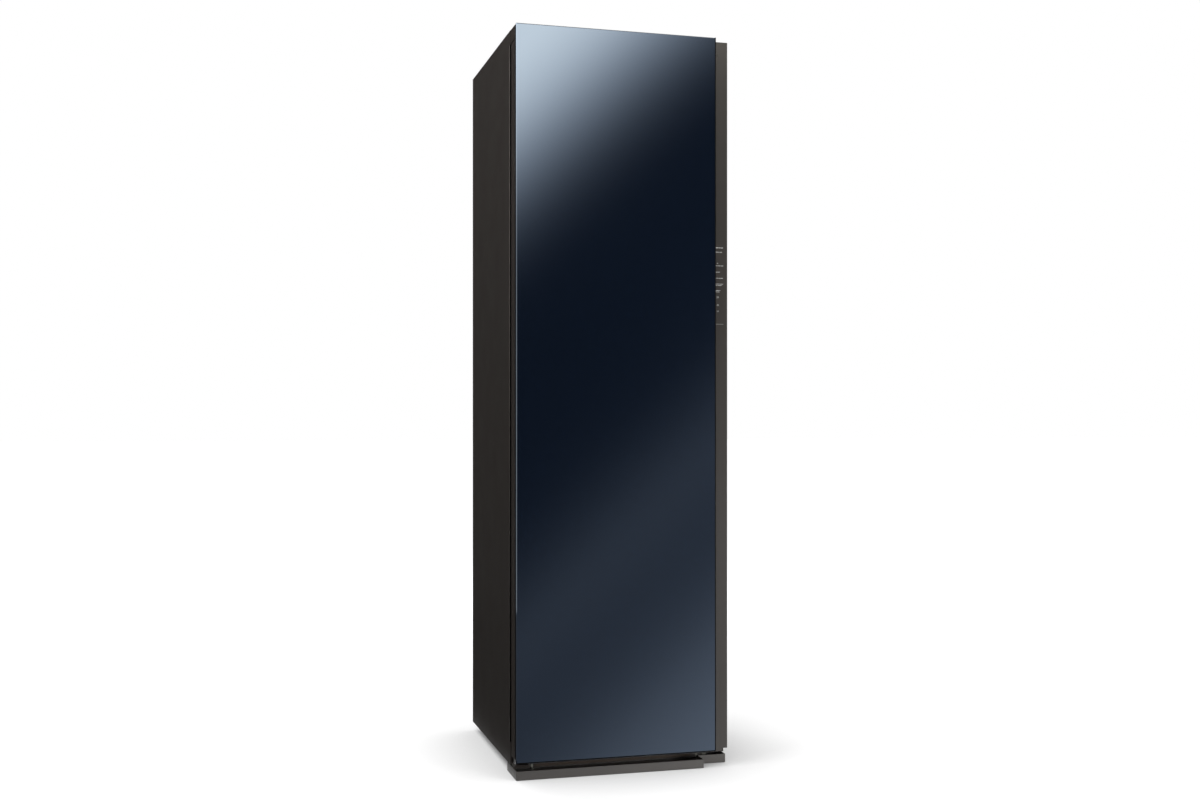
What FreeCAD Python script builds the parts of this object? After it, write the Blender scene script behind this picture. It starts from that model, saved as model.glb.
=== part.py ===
import FreeCAD, Part
import math
import os
import re
import Sketcher

# A free-standing steam cabinet for clothes care. Millimetres, origin at the middle of the
# footprint on the floor, +X to the right, +Y to the back, +Z up; the door faces -Y.

# Driving sizes. Every other length and place below is worked out from these.
SIZES = {
    # outside
    "overall_width": 595,
    "overall_depth": 632,
    "overall_height": 1960,
    "sheet_steel": 1.2,
    "seat_gap": 0.3,
    "slip_gap": 0.05,
    "edge_gap": 0.5,
    "overcut": 1,
    "side_bottom": 24,
    "front_return": 14.5,
    "rear_return": 20,
    "top_lip": 12,
    # glass panel and its backing frame
    "strip_width": 48,
    "glass_bottom": 44,
    "glass_thickness": 5,
    "glass_bevel": 2.2,
    "panel_frame_depth": 12,
    "panel_frame_inset": 1,
    "panel_frame_sheet": 3,
    "panel_rail": 30,
    # door body
    "door_core_depth": 45,
    "door_bottom": 52,
    "door_skin": 2.5,
    "door_seam": 10,
    "door_liner_sheet": 2.5,
    "plug_depth": 18,
    "plug_gap": 12,
    "gasket_width": 16,
    "gasket_margin": 1.5,
    "gasket_low_margin": 8,
    "gasket_high_margin": 10,
    "gasket_corner": 14,
    "strip_recess": 41,
    "strip_skin": 3,
    "strip_bottom": 33,
    "strip_notch_width": 15,
    "strip_notch_rise": 8,
    "grip_overhang": 27,
    "touch_board_width": 40,
    "touch_board_length": 240,
    "touch_board_centre": 1310,
    "touch_board_thickness": 1.6,
    "touch_board_inset": 5,
    # top hinge cover
    "cap_height": 37,
    "cap_wall": 2,
    "cap_clearance": 4,
    "cap_door_gap": 3,
    "cap_step_gap": 3,
    # hinges
    "hinge_inset": 12,
    "hinge_setback": 34,
    "pin_radius": 4,
    "pin_shoulder_radius": 8,
    "pin_reach": 26,
    "running_gap": 0.05,
    "bush_wall": 2.5,
    "bush_flange_radius": 9,
    "bush_flange": 1.5,
    "bush_length": 24,
    "hinge_block_width": 24,
    "hinge_block_height": 34,
    "hinge_block_nose": 13,
    "upper_bracket_thickness": 4,
    "lower_bracket_thickness": 7,
    "bracket_width": 38,
    "bracket_inset": 3,
    "bracket_nose": 12,
    "bracket_tail": 70,
    "lower_bracket_inset": 2,
    "lower_bracket_nose": 21,
    "lower_upright": 3,
    # plinth tray and feet
    "tray_lift": 1,
    "tray_wall": 2.5,
    "tray_floor": 2,
    "tray_rear_rim": 18,
    "tray_depth": 115,
    "tray_step_inset": 82,
    "tray_step_depth": 46,
    "tray_right_inset": 4,
    "foot_inset": 59,
    "foot_setback": 130,
    "foot_radius": 14,
    "foot_height": 12,
    "foot_slope": 4,
    "stud_radius": 5,
    "stud_length": 46,
    "nut_circumradius": 9,
    "nut_height": 5,
    # base pan
    "pan_sheet": 2,
    "pan_wall": 34,
    "pan_drain_radius": 6,
    "pan_drain_inset": 30,
    "pan_drain_setback": 100,
    "pan_rib_width": 16,
    "pan_rib_height": 4,
    "pan_rib_rear_gap": 60,
    # louvres of the back panel
    "louvre_drop": 20,
    "louvre_pitch": 15,
    "louvre_height": 6,
    "louvre_half_width": 70,
    # door-side frame and garment chamber
    "frame_depth": 20,
    "insulation_thickness": 24.3,
    "pad_gap": 6,
    "liner_sheet": 2.5,
    "window_margin": 10,
    "liner_corner": 12,
    "chamber_gap": 31,
    "ceiling_unit_height": 180,
    "ledge_depth": 15,
    "ledge_thickness": 5,
    "ledge_height": 126,
    "ledge_end_gap": 20,
    "shelf_thickness": 9,
    "shelf_side_gap": 6,
    "shelf_end_gap": 24,
    "shelf_corner": 10,
    "shelf_slot_width": 9,
    "shelf_slot_end": 60,
    "shelf_slot_margin": 40,
    # ceiling air unit
    "duct_wall": 2.5,
    "duct_corner": 18,
    "ceiling_duct_side_gap": 52,
    "duct_front_inset": 74,
    "duct_rear_inset": 36,
    "duct_height": 118,
    "fan_radius": 70,
    "fan_eye_radius": 40,
    "fan_height": 36,
    "fan_rim": 2,
    "fan_plate": 2.5,
    "fan_hub_radius": 14,
    "fan_hub_depth": 16,
    "fan_lift": 14,
    "fan_rear_inset": 97,
    "fan_blade_curve": 45,
    "fan_blade_lean": 14,
    "fan_blade_lift": 37,
    "fan_motor_radius": 34,
    "fan_motor_height": 48,
    "fan_motor_slope": 4,
    "shaft_radius": 4,
    "shaft_end": 3,
    "fan_inlet_radius": 45,
    "grille_rim": 8,
    "grille_sheet": 3,
    "grille_pitch": 12,
    "grille_slot": 8,
    "grille_slot_half_length": 28,
    "lamp_half_width": 60,
    "lamp_setback": 18,
    "lamp_depth": 20,
    "lamp_height": 4,
    "lamp_corner": 8,
    # air hangers
    "hanger_pitch": 150,
    "hanger_offset": 13,
    "hanger_half_span": 205,
    "hanger_drop": 150,
    "hanger_thickness": 26,
    "hanger_collar": 20,
    "hanger_tip": 8,
    "hanger_round": 7,
    "hanger_head_half_length": 30,
    "hanger_head_corner": 5,
    "hanger_neck_drop": 36,
    "neck_root": 6,
    "neck_radius": 8,
    "neck_wall": 3,
    "jet_pitch": 62,
    "jet_half_length": 22,
    "jet_half_width": 5,
    "rail_end_gap": 10,
    "rail_width": 44,
    "rail_height": 20,
    "rail_sheet": 2,
    "rail_slot": 18,
    # tank bay and tanks
    "bay_wall": 3,
    "bay_bottom": 92,
    "bay_side_gap": 47,
    "bay_headroom": 14,
    "bay_rib_width": 4,
    "bay_rib_height": 12,
    "machine_depth": 328,
    "valve_radius": 9,
    "valve_height": 26,
    "tank_side_gap": 6,
    "tank_gap": 8,
    "tank_recess": 4,
    "tank_front_thickness": 14,
    "tank_height": 287,
    "tank_wall": 2.5,
    "tank_rear_gap": 6,
    "tank_corner": 14,
    "lid_thickness": 3,
    "lid_boss_radius": 22,
    "lid_boss_height": 5,
    "tank_front_corner": 6,
    "grip_width": 110,
    "grip_height": 36,
    "grip_depth": 11,
    "grip_drop": 30,
    "grip_corner": 10,
    # lower air duct with the heat exchangers
    "heat_duct_height": 176,
    "heat_duct_side_gap": 89.5,
    "heat_duct_wall": 3,
    "heat_duct_gap": 5,
    "scent_width": 56,
    "scent_depth": 30,
    "scent_inset": 47.5,
    "scent_gap": 1,
    "scent_drop": 12,
    "scent_rim": 4,
    "scent_cap_height": 10,
    "scent_corner": 5,
    "scent_slot_pitch": 10,
    "scent_slot": 4,
    "filter_slot_depth": 34,
    "filter_side_gap": 60,
    "filter_slot_wall": 10,
    "filter_gap": 1,
    "filter_rim": 4,
    "filter_rim_height": 3,
    "filter_length": 96,
    "filter_frame": 6,
    "filter_front_gap": 8,
    "filter_depth": 10,
    "filter_window_drop": 16,
    "filter_mesh": 1,
    "filter_tab_half_width": 30,
    "filter_tab_depth": 4,
    "filter_tab_height": 18,
    "filter_vent_pitch": 26,
    "filter_vent_half_width": 9,
    "coil_gap": 12,
    "coil_side_gap": 14,
    "coil_top_gap": 6,
    "coil_fin": 1.2,
    "coil_tube": 5,
    "coil_tube_inset": 10,
    "coil_header_radius": 8,
    # circulation blower
    "scroll_depth": 56,
    "scroll_growth": 5,
    "tongue_gap": 5,
    "outlet_width": 40,
    "inlet_lip": 3,
    "inlet_lip_wall": 2,
    "wheel_front_gap": 4,
    "wheel_drop": 4,
    "wheel_radius": 58,
    "wheel_inner_radius": 46,
    "wheel_width": 36,
    "wheel_rim": 2,
    "wheel_blade_curve": 13,
    "wheel_blade_lean": 2,
    "wheel_blade_lift": 10.5,
    "blade_thickness": 1.2,
    "hub_radius": 10,
    "hub_depth": 16,
    "hub_plate": 2,
    "shaft_hole_gap": 2,
    "rear_motor_radius": 30,
    "rear_motor_length": 18,
    "rear_motor_slope": 3,
    "rear_motor_gap": 4,
    "vent_rim": 6,
    "vent_sheet": 3,
    "vent_rear_gap": 8,
    "vent_slot": 5,
    "vent_pitch": 10,
    # machines on the base pan
    "machine_gap": 12,
    "compressor_radius": 56,
    "compressor_height": 166,
    "compressor_setback": 40,
    "compressor_sheet": 3,
    "compressor_waist": 22,
    "compressor_bottom_slope": 14,
    "compressor_top_slope": 20,
    "compressor_arm": 20,
    "compressor_arm_round": 8,
    "rubber_foot_reach": 7,
    "rubber_foot_radius": 11,
    "rubber_foot_height": 14,
    "boiler_width": 90,
    "boiler_depth": 110,
    "boiler_height": 84,
    "boiler_inset": 30,
    "boiler_setback": 20,
    "boiler_corner": 16,
    "boiler_port_inset": 22,
    "boiler_collar_wall": 5,
    "boiler_collar_height": 12,
    "hose_inset": 65.5,
    "hose_radius": 6,
    "hose_bend": 14,
    "hose_rise": 34,
    "nozzle_rim": 10,
    "nozzle_neck": 4,
    "nozzle_sheet": 3,
    "nozzle_height": 12,
    "nozzle_jet_radius": 3,
    "nozzle_jet_floor": 5,
    "pump_radius": 17,
    "pump_length": 60,
    "pump_lift": 4,
    "pump_foot_inset": 6,
    "pump_stub": 16,
    "pump_gap": 30,
    "pump_setback": 4,
    "drain_pump_inset": 24,
    "control_box_width": 70,
    "control_box_height": 170,
    "control_box_wall": 2,
    "control_box_inset": 40,
    "control_box_front_gap": 32,
    "control_box_rear_gap": 20,
    "control_board_gap": 4,
    "control_board_thickness": 1.6,
    "pipe_radius": 4,
    "pipe_root": 6,
    "cord_radius": 4,
    "cord_inset": 60,
    "cord_rise": 60,
    "gland_radius": 9,
    "gland_rim": 5,
    "gland_depth": 16,
}

# How many of each repeated feature.
COUNTS = {
    "shelf_slot_count": 13,
    "fan_blade_count": 7,
    "wheel_blade_count": 20,
    "coil_fin_count": 8,
    "coil_tube_count": 3,
    "louvre_count": 9,
    "hanger_jet_count": 3,
    "panel_pocket_count": 4,
    "grille_slot_count": 7,
    "vent_slot_count": 4,
    "scent_slot_count": 4,
    "filter_vent_count": 8,
}

# Places and lengths that follow from the driving sizes.
PLACES = {
    "left": "0 - overall_width / 2",
    "right": "overall_width / 2",
    "front": "0 - overall_depth / 2",
    "back": "overall_depth / 2",
    "top": "overall_height",
    # door
    "panel_back": "front + glass_thickness + panel_frame_depth",
    "door_rear": "panel_back + door_core_depth",
    "cabinet_front": "door_rear + door_seam",
    "cap_bottom": "top - cap_height",
    "door_top": "cap_bottom - cap_door_gap",
    "strip_front": "front + strip_recess",
    "strip_back": "strip_front + strip_skin",
    "glass_right": "right - strip_width",
    "grip_wall": "glass_right - grip_overhang",
    "pivot_x": "left + hinge_inset",
    "pivot_y": "panel_back + hinge_setback",
    "bush_radius": "pin_radius + running_gap + bush_wall",
    "bracket_top": "side_bottom + pan_sheet + lower_bracket_thickness",
    "block_near": "pivot_x - hinge_inset + door_skin",
    "board_left": "right - door_skin - touch_board_inset - touch_board_width",
    "board_low": "touch_board_centre - touch_board_length / 2",
    # cabinet
    "inner_left": "left + sheet_steel",
    "inner_right": "right - sheet_steel",
    "back_panel_rear": "back - sheet_steel",
    "back_panel_front": "back - 2 * sheet_steel",
    "frame_half": "overall_width / 2 - front_return",
    "frame_rear": "cabinet_front + frame_depth",
    "frame_low": "side_bottom + pan_wall + seat_gap",
    "frame_high": "cap_bottom + cap_door_gap",
    "gasket_half": "frame_half - gasket_margin",
    "gasket_low": "frame_low + gasket_low_margin",
    "gasket_high": "door_top - gasket_high_margin",
    "gasket_rear": "cabinet_front - seat_gap",
    "liner_half": "overall_width / 2 - sheet_steel - insulation_thickness",
    "liner_rear": "back_panel_front - insulation_thickness",
    "chamber_half": "liner_half - liner_sheet",
    "chamber_rear": "liner_rear - liner_sheet",
    "chamber_bottom": "bay_top + chamber_gap",
    "chamber_floor": "chamber_bottom + liner_sheet",
    "liner_top": "top - ceiling_unit_height",
    "chamber_ceiling": "liner_top - liner_sheet",
    "window_half": "liner_half - window_margin",
    "plug_half": "window_half - plug_gap",
    "plug_low": "chamber_floor + plug_gap",
    "plug_high": "chamber_ceiling - plug_gap",
    "plug_rear": "door_rear + plug_depth",
    "ledge_top": "chamber_floor + ledge_height",
    "shelf_half": "chamber_half - shelf_side_gap",
    "pan_front": "cabinet_front + sheet_steel",
    # feet
    "foot_x": "overall_width / 2 - foot_inset",
    "foot_front": "front + foot_setback",
    "foot_rear": "back - foot_inset",
    "tray_top": "side_bottom - seat_gap",
    "tray_step": "right - tray_step_inset",
    "tray_right": "right - tray_right_inset",
    "tray_rear": "front + tray_depth",
    # ceiling unit
    "duct_front": "frame_rear + duct_front_inset",
    "duct_rear": "liner_rear - duct_rear_inset",
    "duct_top": "liner_top + duct_height",
    "duct_half_width": "liner_half - ceiling_duct_side_gap",
    "fan_y": "duct_rear - fan_rear_inset",
    "fan_low": "liner_top + fan_lift",
    "grille_radius": "fan_inlet_radius + grille_rim",
    "hanger_y": "(frame_rear + chamber_rear) / 2 - hanger_offset",
    "rail_low": "chamber_ceiling - rail_height",
    "rail_rear": "fan_y - grille_radius - rail_end_gap",
    "rail_front": "2 * hanger_y - rail_rear",
    # tank bay
    "bay_floor": "bay_bottom + bay_wall",
    "bay_ceiling": "bay_floor + tank_height + bay_headroom",
    "bay_top": "bay_ceiling + bay_wall",
    "bay_half_width": "frame_half - bay_side_gap",
    "bay_rear": "back_panel_front - machine_depth",
    "tank_outer": "bay_half_width - tank_side_gap",
    "tank_front": "cabinet_front + tank_recess",
    "tank_body_front": "tank_front + tank_front_thickness",
    "tank_rear": "bay_rear - tank_rear_gap",
    "tank_low": "bay_floor + seat_gap",
    "tank_rim": "tank_low + tank_height - lid_thickness",
    # lower duct
    "heat_front": "bay_rear + bay_wall + heat_duct_gap",
    "heat_rear": "scroll_front",
    "heat_low": "chamber_bottom - heat_duct_height",
    "heat_duct_half_width": "chamber_half - heat_duct_side_gap",
    "scroll_rear": "back_panel_front - rear_motor_length - rear_motor_gap",
    "scroll_front": "scroll_rear - scroll_depth",
    "volute_radius": "wheel_radius + tongue_gap",
    "outlet_right": "volute_radius + 3.5 * scroll_growth",
    "outlet_left": "outlet_right - outlet_width",
    "vent_rear": "chamber_rear - vent_rear_gap",
    "wheel_z": "heat_low + heat_duct_height / 2 - wheel_drop",
    "wheel_front": "scroll_front + duct_wall + wheel_front_gap",
    "scent_x": "chamber_half - scent_inset",
    "slot_front": "heat_front + heat_duct_wall",
    "slot_rear": "slot_front + filter_slot_depth",
    "filter_half": "filter_slot_half_width - filter_gap",
    "filter_slot_half_width": "heat_duct_half_width - filter_side_gap",
    "filter_front": "slot_front + filter_front_gap",
    "filter_low": "chamber_floor - filter_length",
    "coil_depth": "(heat_rear - heat_duct_wall - slot_rear - 4 * coil_gap) / 2",
    "coil_half": "heat_duct_half_width - heat_duct_wall - coil_side_gap",
    "coil_low": "heat_low + heat_duct_wall",
    "coil_high": "chamber_bottom - heat_duct_wall - coil_top_gap",
    "evaporator_front": "slot_rear + 2 * coil_gap",
    "condenser_front": "evaporator_front + coil_depth + coil_gap",
    # base machines
    "pan_floor": "side_bottom + pan_sheet",
    "machine_front": "bay_rear + bay_wall + machine_gap",
    "compressor_x": "0 - heat_duct_half_width / 2",
    "compressor_y": "machine_front + compressor_radius + compressor_setback",
    "compressor_low": "pan_floor + rubber_foot_height",
    "compressor_foot_ring": "compressor_radius + rubber_foot_reach",
    "boiler_left": "heat_duct_half_width / 2 - boiler_inset",
    "boiler_right": "boiler_left + boiler_width",
    "boiler_front": "machine_front + boiler_setback",
    "boiler_top": "pan_floor + boiler_height",
    "port_x": "boiler_right - boiler_port_inset",
    "hose_x": "chamber_half - hose_inset",
    "hose_y": "boiler_front + boiler_depth / 2",
    "hose_low": "boiler_top + boiler_collar_height",
    "hose_level": "boiler_top + hose_rise",
    "pump_z": "pan_floor + pump_lift + pump_radius",
    "feed_pump_front": "boiler_front + pump_setback",
    "control_left": "liner_half - control_box_inset - control_box_width",
    "control_right": "control_left + control_box_width",
    "control_front": "feed_pump_front + pump_length + control_box_front_gap",
    "control_rear": "foot_rear - control_box_rear_gap",
    "control_top": "pan_floor + control_box_height",
    "gland_x": "left + rear_return + cord_inset",
    "gland_z": "side_bottom + pan_wall + cord_rise",
}

COMPRESSOR_ARM_ANGLE = 12
CLOSE = 1e-6
WORD = re.compile(r"[a-z][a-z0-9_]*")
DOCUMENT = FreeCAD.newDocument("SteamCabinet")
SHEET = DOCUMENT.addObject("Spreadsheet::Sheet", "Sizes")
NODES = {}

for row, (alias, value) in enumerate({**SIZES, **COUNTS}.items(), 1):
    SHEET.set(f"A{row}", alias)
    SHEET.set(f"B{row}", str(value))
    SHEET.setAlias(f"B{row}", alias)
DOCUMENT.recompute()


# ---------------------------------------------------------------- helpers

def bound(text):
    """Write a rule in words of SIZES and PLACES as an expression on the sheet's cells."""
    def swap(match):
        word = match.group(0)
        if word in PLACES:
            return "(" + bound(PLACES[word]) + ")"
        return "Sizes." + word
    return WORD.sub(swap, text)


def bind(item, path, rule):
    item.setExpression(path, bound(rule))


def hold(sketch, rule, kind, *spot):
    """A sketch dimension that follows a rule; the spot ends with a first value."""
    number = sketch.addConstraint(Sketcher.Constraint(kind, *spot))
    bind(sketch, f"Constraints[{number}]", rule)


def count(alias):
    return int(SHEET.get(alias))


def size(alias):
    return float(SHEET.get(alias))


def keep(node, item):
    """Name a finished sub-part; its label is its node and its file."""
    item.Label = node
    NODES[node] = item
    return item


def place(item, spot):
    for path, rule in zip("xyz", spot):
        bind(item, f".Placement.Base.{path}", rule)
    return item


def box(name, low, high):
    """A block between two corners."""
    block = DOCUMENT.addObject("Part::Box", name)
    for side, start, end in zip(("Length", "Width", "Height"), low, high):
        bind(block, side, f"({end}) - ({start})")
    return place(block, low)


TURNS = {
    "z": FreeCAD.Rotation(),
    "x": FreeCAD.Rotation(FreeCAD.Vector(0, 1, 0), 90),
    "y": FreeCAD.Rotation(FreeCAD.Vector(1, 0, 0), -90),
}


def rod(name, base, radius, length, axis="z"):
    """A cylinder that starts at base and runs along +axis."""
    cylinder = DOCUMENT.addObject("Part::Cylinder", name)
    bind(cylinder, "Radius", radius)
    bind(cylinder, "Height", length)
    cylinder.Placement.Rotation = TURNS[axis]
    return place(cylinder, base)


def fuse(name, *items):
    joined = DOCUMENT.addObject("Part::MultiFuse", name)
    joined.Shapes = list(items)
    joined.Refine = True
    return joined


def cut(name, base, *tools):
    result = DOCUMENT.addObject("Part::Cut", name)
    result.Base = base
    result.Tool = tools[0] if len(tools) == 1 else fuse(name + "_tools", *tools)
    return result


def group(name, *items):
    """Separate solids of one kind that share a node."""
    gathered = DOCUMENT.addObject("Part::Compound", name)
    gathered.Links = list(items)
    return gathered


def mirrored(name, item):
    """The same piece on the other side of the middle plane."""
    twin = DOCUMENT.addObject("Part::Mirroring", name)
    twin.Source = item
    twin.Normal = FreeCAD.Vector(1, 0, 0)
    return twin


PLANES = {"z": "XY_Plane", "y": "XZ_Plane", "x": "YZ_Plane"}


def new_body(name):
    return DOCUMENT.addObject("PartDesign::Body", name)


def new_sketch(body, axis, start="0"):
    """An empty sketch square to an axis, at the place start along it."""
    sketch = body.newObject("Sketcher::SketchObject", body.Name + "_outline")
    wanted = PLANES[axis]
    planes = [plane for plane in body.Origin.OriginFeatures if plane.Role == wanted]
    sketch.AttachmentSupport = (planes[0], [""])
    sketch.MapMode = "FlatFace"
    sign = "0 - " if axis == "y" else ""
    bind(sketch, ".AttachmentOffset.Base.z", f"{sign}({start})")
    return sketch


# An outline is first drawn on a circle of this radius; its bound distances then move it.
FIRST_RADIUS = 50


def draw_polygon(sketch, points):
    """A closed outline whose corners are each held from the origin by two bound distances."""
    total = len(points)
    first = sketch.GeometryCount
    turn = 2 * math.pi / total
    spots = [FreeCAD.Vector(math.cos(turn * step), math.sin(turn * step), 0) * FIRST_RADIUS
             for step in range(total)]
    for step in range(total):
        sketch.addGeometry(Part.LineSegment(spots[step], spots[(step + 1) % total]), False)
    for step in range(total):
        follow = first + (step + 1) % total
        sketch.addConstraint(Sketcher.Constraint("Coincident", first + step, 2, follow, 1))
    for step, (across, along) in enumerate(points):
        for kind, rule in (("DistanceX", across), ("DistanceY", along)):
            spot = spots[step].x if kind == "DistanceX" else spots[step].y
            hold(sketch, rule, kind, -1, 1, first + step, 1, spot)


def pad(body, sketch, axis, length):
    """Grow the sketch along +axis."""
    feature = body.newObject("PartDesign::Pad", body.Name + "_pad")
    feature.Profile = sketch
    feature.Reversed = axis == "y"
    bind(feature, "Length", length)
    return feature


def prism(name, axis, points, start, end):
    """A straight bar of one outline between two places along an axis."""
    body = new_body(name)
    sketch = new_sketch(body, axis, start)
    draw_polygon(sketch, points)
    pad(body, sketch, axis, f"({end}) - ({start})")
    return body


def turned(name, profile, base, axis="z"):
    """A piece of revolution: profile is (radius, height) pairs up the axis from base."""
    body = new_body(name)
    sketch = new_sketch(body, "y")
    draw_polygon(sketch, profile)
    feature = body.newObject("PartDesign::Revolution", name + "_turn")
    feature.Profile = sketch
    feature.ReferenceAxis = (sketch, ["V_Axis"])
    feature.Angle = 360
    body.Placement.Rotation = TURNS[axis]
    return place(body, base)


def edges_along(shape, axis):
    """Numbers of the straight edges that run along an axis."""
    direction = {"x": FreeCAD.Vector(1, 0, 0), "y": FreeCAD.Vector(0, 1, 0),
                 "z": FreeCAD.Vector(0, 0, 1)}[axis]
    chosen = []
    for number, edge in enumerate(shape.Edges, 1):
        if isinstance(edge.Curve, Part.Line):
            if abs(abs(edge.Curve.Direction.dot(direction)) - 1) < CLOSE:
                chosen.append(number)
    return chosen


def round_corners(body, axis, radius):
    """Round every corner that runs along an axis."""
    DOCUMENT.recompute()
    tip = body.Tip
    fillet = body.newObject("PartDesign::Fillet", body.Name + "_round")
    fillet.Base = (tip, [f"Edge{number}" for number in edges_along(tip.Shape, axis)])
    bind(fillet, "Radius", radius)
    return body


def rectangle(low, high):
    """The four corners of a rectangle from its low and high corners."""
    return [(low[0], low[1]), (high[0], low[1]), (high[0], high[1]), (low[0], high[1])]


def rounded_box(name, low, high, radius):
    """A block with its four upright corners rounded."""
    body = prism(name, "z", rectangle(low[:2], high[:2]), low[2], high[2])
    return round_corners(body, "z", radius)


# ---------------------------------------------------------------- cabinet shell

def side_panels():
    """Folded steel sides: a flat wall with a narrow front return and a wider rear one."""
    outline = [
        ("left", "cabinet_front"),
        ("left + front_return", "cabinet_front"),
        ("left + front_return", "cabinet_front + sheet_steel"),
        ("inner_left", "cabinet_front + sheet_steel"),
        ("inner_left", "back_panel_rear"),
        ("left + rear_return", "back_panel_rear"),
        ("left + rear_return", "back"),
        ("left", "back"),
    ]
    panel = prism("side_panel", "z", outline, "side_bottom", "top - sheet_steel")
    keep("left_side_panel", panel)
    keep("right_side_panel", mirrored("side_panel_twin", panel))


def top_panel():
    """Lid sheet with lips that drop inside the two sides."""
    outline = [
        ("left", "top"), ("left", "top - sheet_steel"),
        ("inner_left", "top - sheet_steel"), ("inner_left", "top - top_lip"),
        ("inner_left + sheet_steel", "top - top_lip"),
        ("inner_left + sheet_steel", "top - sheet_steel"),
        ("inner_right - sheet_steel", "top - sheet_steel"),
        ("inner_right - sheet_steel", "top - top_lip"),
        ("inner_right", "top - top_lip"), ("inner_right", "top - sheet_steel"),
        ("right", "top - sheet_steel"), ("right", "top"),
    ]
    sheet = prism("lid_sheet", "y", outline, "cabinet_front + sheet_steel", "back_panel_front")
    front_lip = box("lid_front_lip", ("left", "cabinet_front", "top - sheet_steel"),
                    ("right", "cabinet_front + sheet_steel", "top"))
    rear_lip = box("lid_rear_lip", ("left", "back_panel_front", "top - sheet_steel"),
                   ("right", "back", "top"))
    keep("top_panel", fuse("lid", sheet, front_lip, rear_lip))


def back_panel():
    """Rear sheet with louvres low down, where the warm machine air leaves."""
    sheet = box("rear_sheet", ("inner_left", "back_panel_front", "side_bottom"),
                ("inner_right", "back_panel_rear", "top - sheet_steel"))
    cutters = []
    for step in range(count("louvre_count")):
        low = f"heat_low - louvre_drop - {step} * louvre_pitch"
        cutters.append(box(f"louvre_{step}",
                           ("0 - louvre_half_width", "back_panel_front - overcut", low),
                           ("louvre_half_width", "back_panel_rear + overcut",
                            f"{low} + louvre_height")))
    cutters.append(rod("gland_hole", ("gland_x", "back_panel_front - overcut", "gland_z"),
                       "gland_radius + slip_gap", "sheet_steel + 2 * overcut", "y"))
    keep("back_panel", cut("rear_sheet_pierced", sheet, *cutters))


def base_pan():
    """Steel pan that carries the machines and takes the four foot studs."""
    shell = box("pan_blank", ("inner_left", "pan_front", "side_bottom"),
                ("inner_right", "back_panel_front", "side_bottom + pan_wall"))
    hollow = box("pan_hollow",
                 ("inner_left + pan_sheet", "pan_front + pan_sheet", "pan_floor"),
                 ("inner_right - pan_sheet", "back_panel_front - pan_sheet",
                  "side_bottom + pan_wall + overcut"))
    holes = []
    for name, x, y in foot_spots():
        holes.append(rod("stud_hole_" + name, (x, y, "side_bottom - overcut"),
                         "stud_radius + slip_gap", "pan_sheet + 2 * overcut"))
    drain = rod("pan_drain",
                ("boiler_left - pan_drain_inset", "machine_front + pan_drain_setback",
                 "side_bottom - overcut"), "pan_drain_radius", "pan_sheet + 2 * overcut")
    rib = box("pan_rib", ("0 - pan_rib_width / 2", "machine_front", "pan_floor"),
              ("pan_rib_width / 2", "scroll_rear - pan_rib_rear_gap",
               "pan_floor + pan_rib_height"))
    keep("base_pan", fuse("pan", cut("pan_cut", shell, hollow, *holes, drain), rib))


def foot_spots():
    """The four feet: their names and places."""
    return [
        ("front_left", "0 - foot_x", "foot_front"),
        ("front_right", "foot_x", "foot_front"),
        ("rear_left", "0 - foot_x", "foot_rear"),
        ("rear_right", "foot_x", "foot_rear"),
    ]


def feet():
    """Levelling feet: a broad pad with a sloping shoulder, and a stud with its lock nut."""
    profile = [
        ("0", "0"), ("foot_radius", "0"), ("foot_radius", "foot_height - foot_slope"),
        ("foot_radius - foot_slope", "foot_height"), ("0", "foot_height"),
    ]
    pads = []
    studs = []
    for name, x, y in foot_spots():
        pads.append(turned("pad_" + name, profile, (x, y, "0")))
        shank = rod("shank_" + name, (x, y, "foot_height"), "stud_radius",
                    "stud_length - foot_height")
        nut = DOCUMENT.addObject("Part::Prism", "nut_" + name)
        nut.Polygon = 6
        bind(nut, "Circumradius", "nut_circumradius")
        bind(nut, "Height", "nut_height")
        place(nut, (x, y, "pan_floor"))
        studs.append(fuse("stud_" + name, shank, nut))
    keep("levelling_feet", group("pads", *pads))
    keep("foot_studs", group("studs", *studs))


def base_tray():
    """Shallow open plinth tray: stepped front, low rear rim, clear of the front feet."""
    outer = [
        ("left", "front"), ("tray_step", "front"), ("tray_step", "front + tray_step_depth"),
        ("tray_right", "front + tray_step_depth"), ("tray_right", "tray_rear"),
        ("left", "tray_rear"),
    ]
    inner = [
        ("left + tray_wall", "front + tray_wall"),
        ("tray_step - tray_wall", "front + tray_wall"),
        ("tray_step - tray_wall", "front + tray_step_depth + tray_wall"),
        ("tray_right - tray_wall", "front + tray_step_depth + tray_wall"),
        ("tray_right - tray_wall", "tray_rear - tray_wall"),
        ("left + tray_wall", "tray_rear - tray_wall"),
    ]
    blank = prism("tray_blank", "z", outer, "tray_lift", "tray_top")
    hollow = prism("tray_hollow", "z", inner, "tray_lift + tray_floor", "tray_top + overcut")
    rim_cut = box("tray_rim_cut", ("left + tray_wall", "tray_rear - tray_wall - overcut",
                                   "tray_lift + tray_rear_rim"),
                  ("tray_right - tray_wall", "tray_rear + overcut", "tray_top + overcut"))
    keep("base_tray", cut("tray", blank, hollow, rim_cut))


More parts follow.
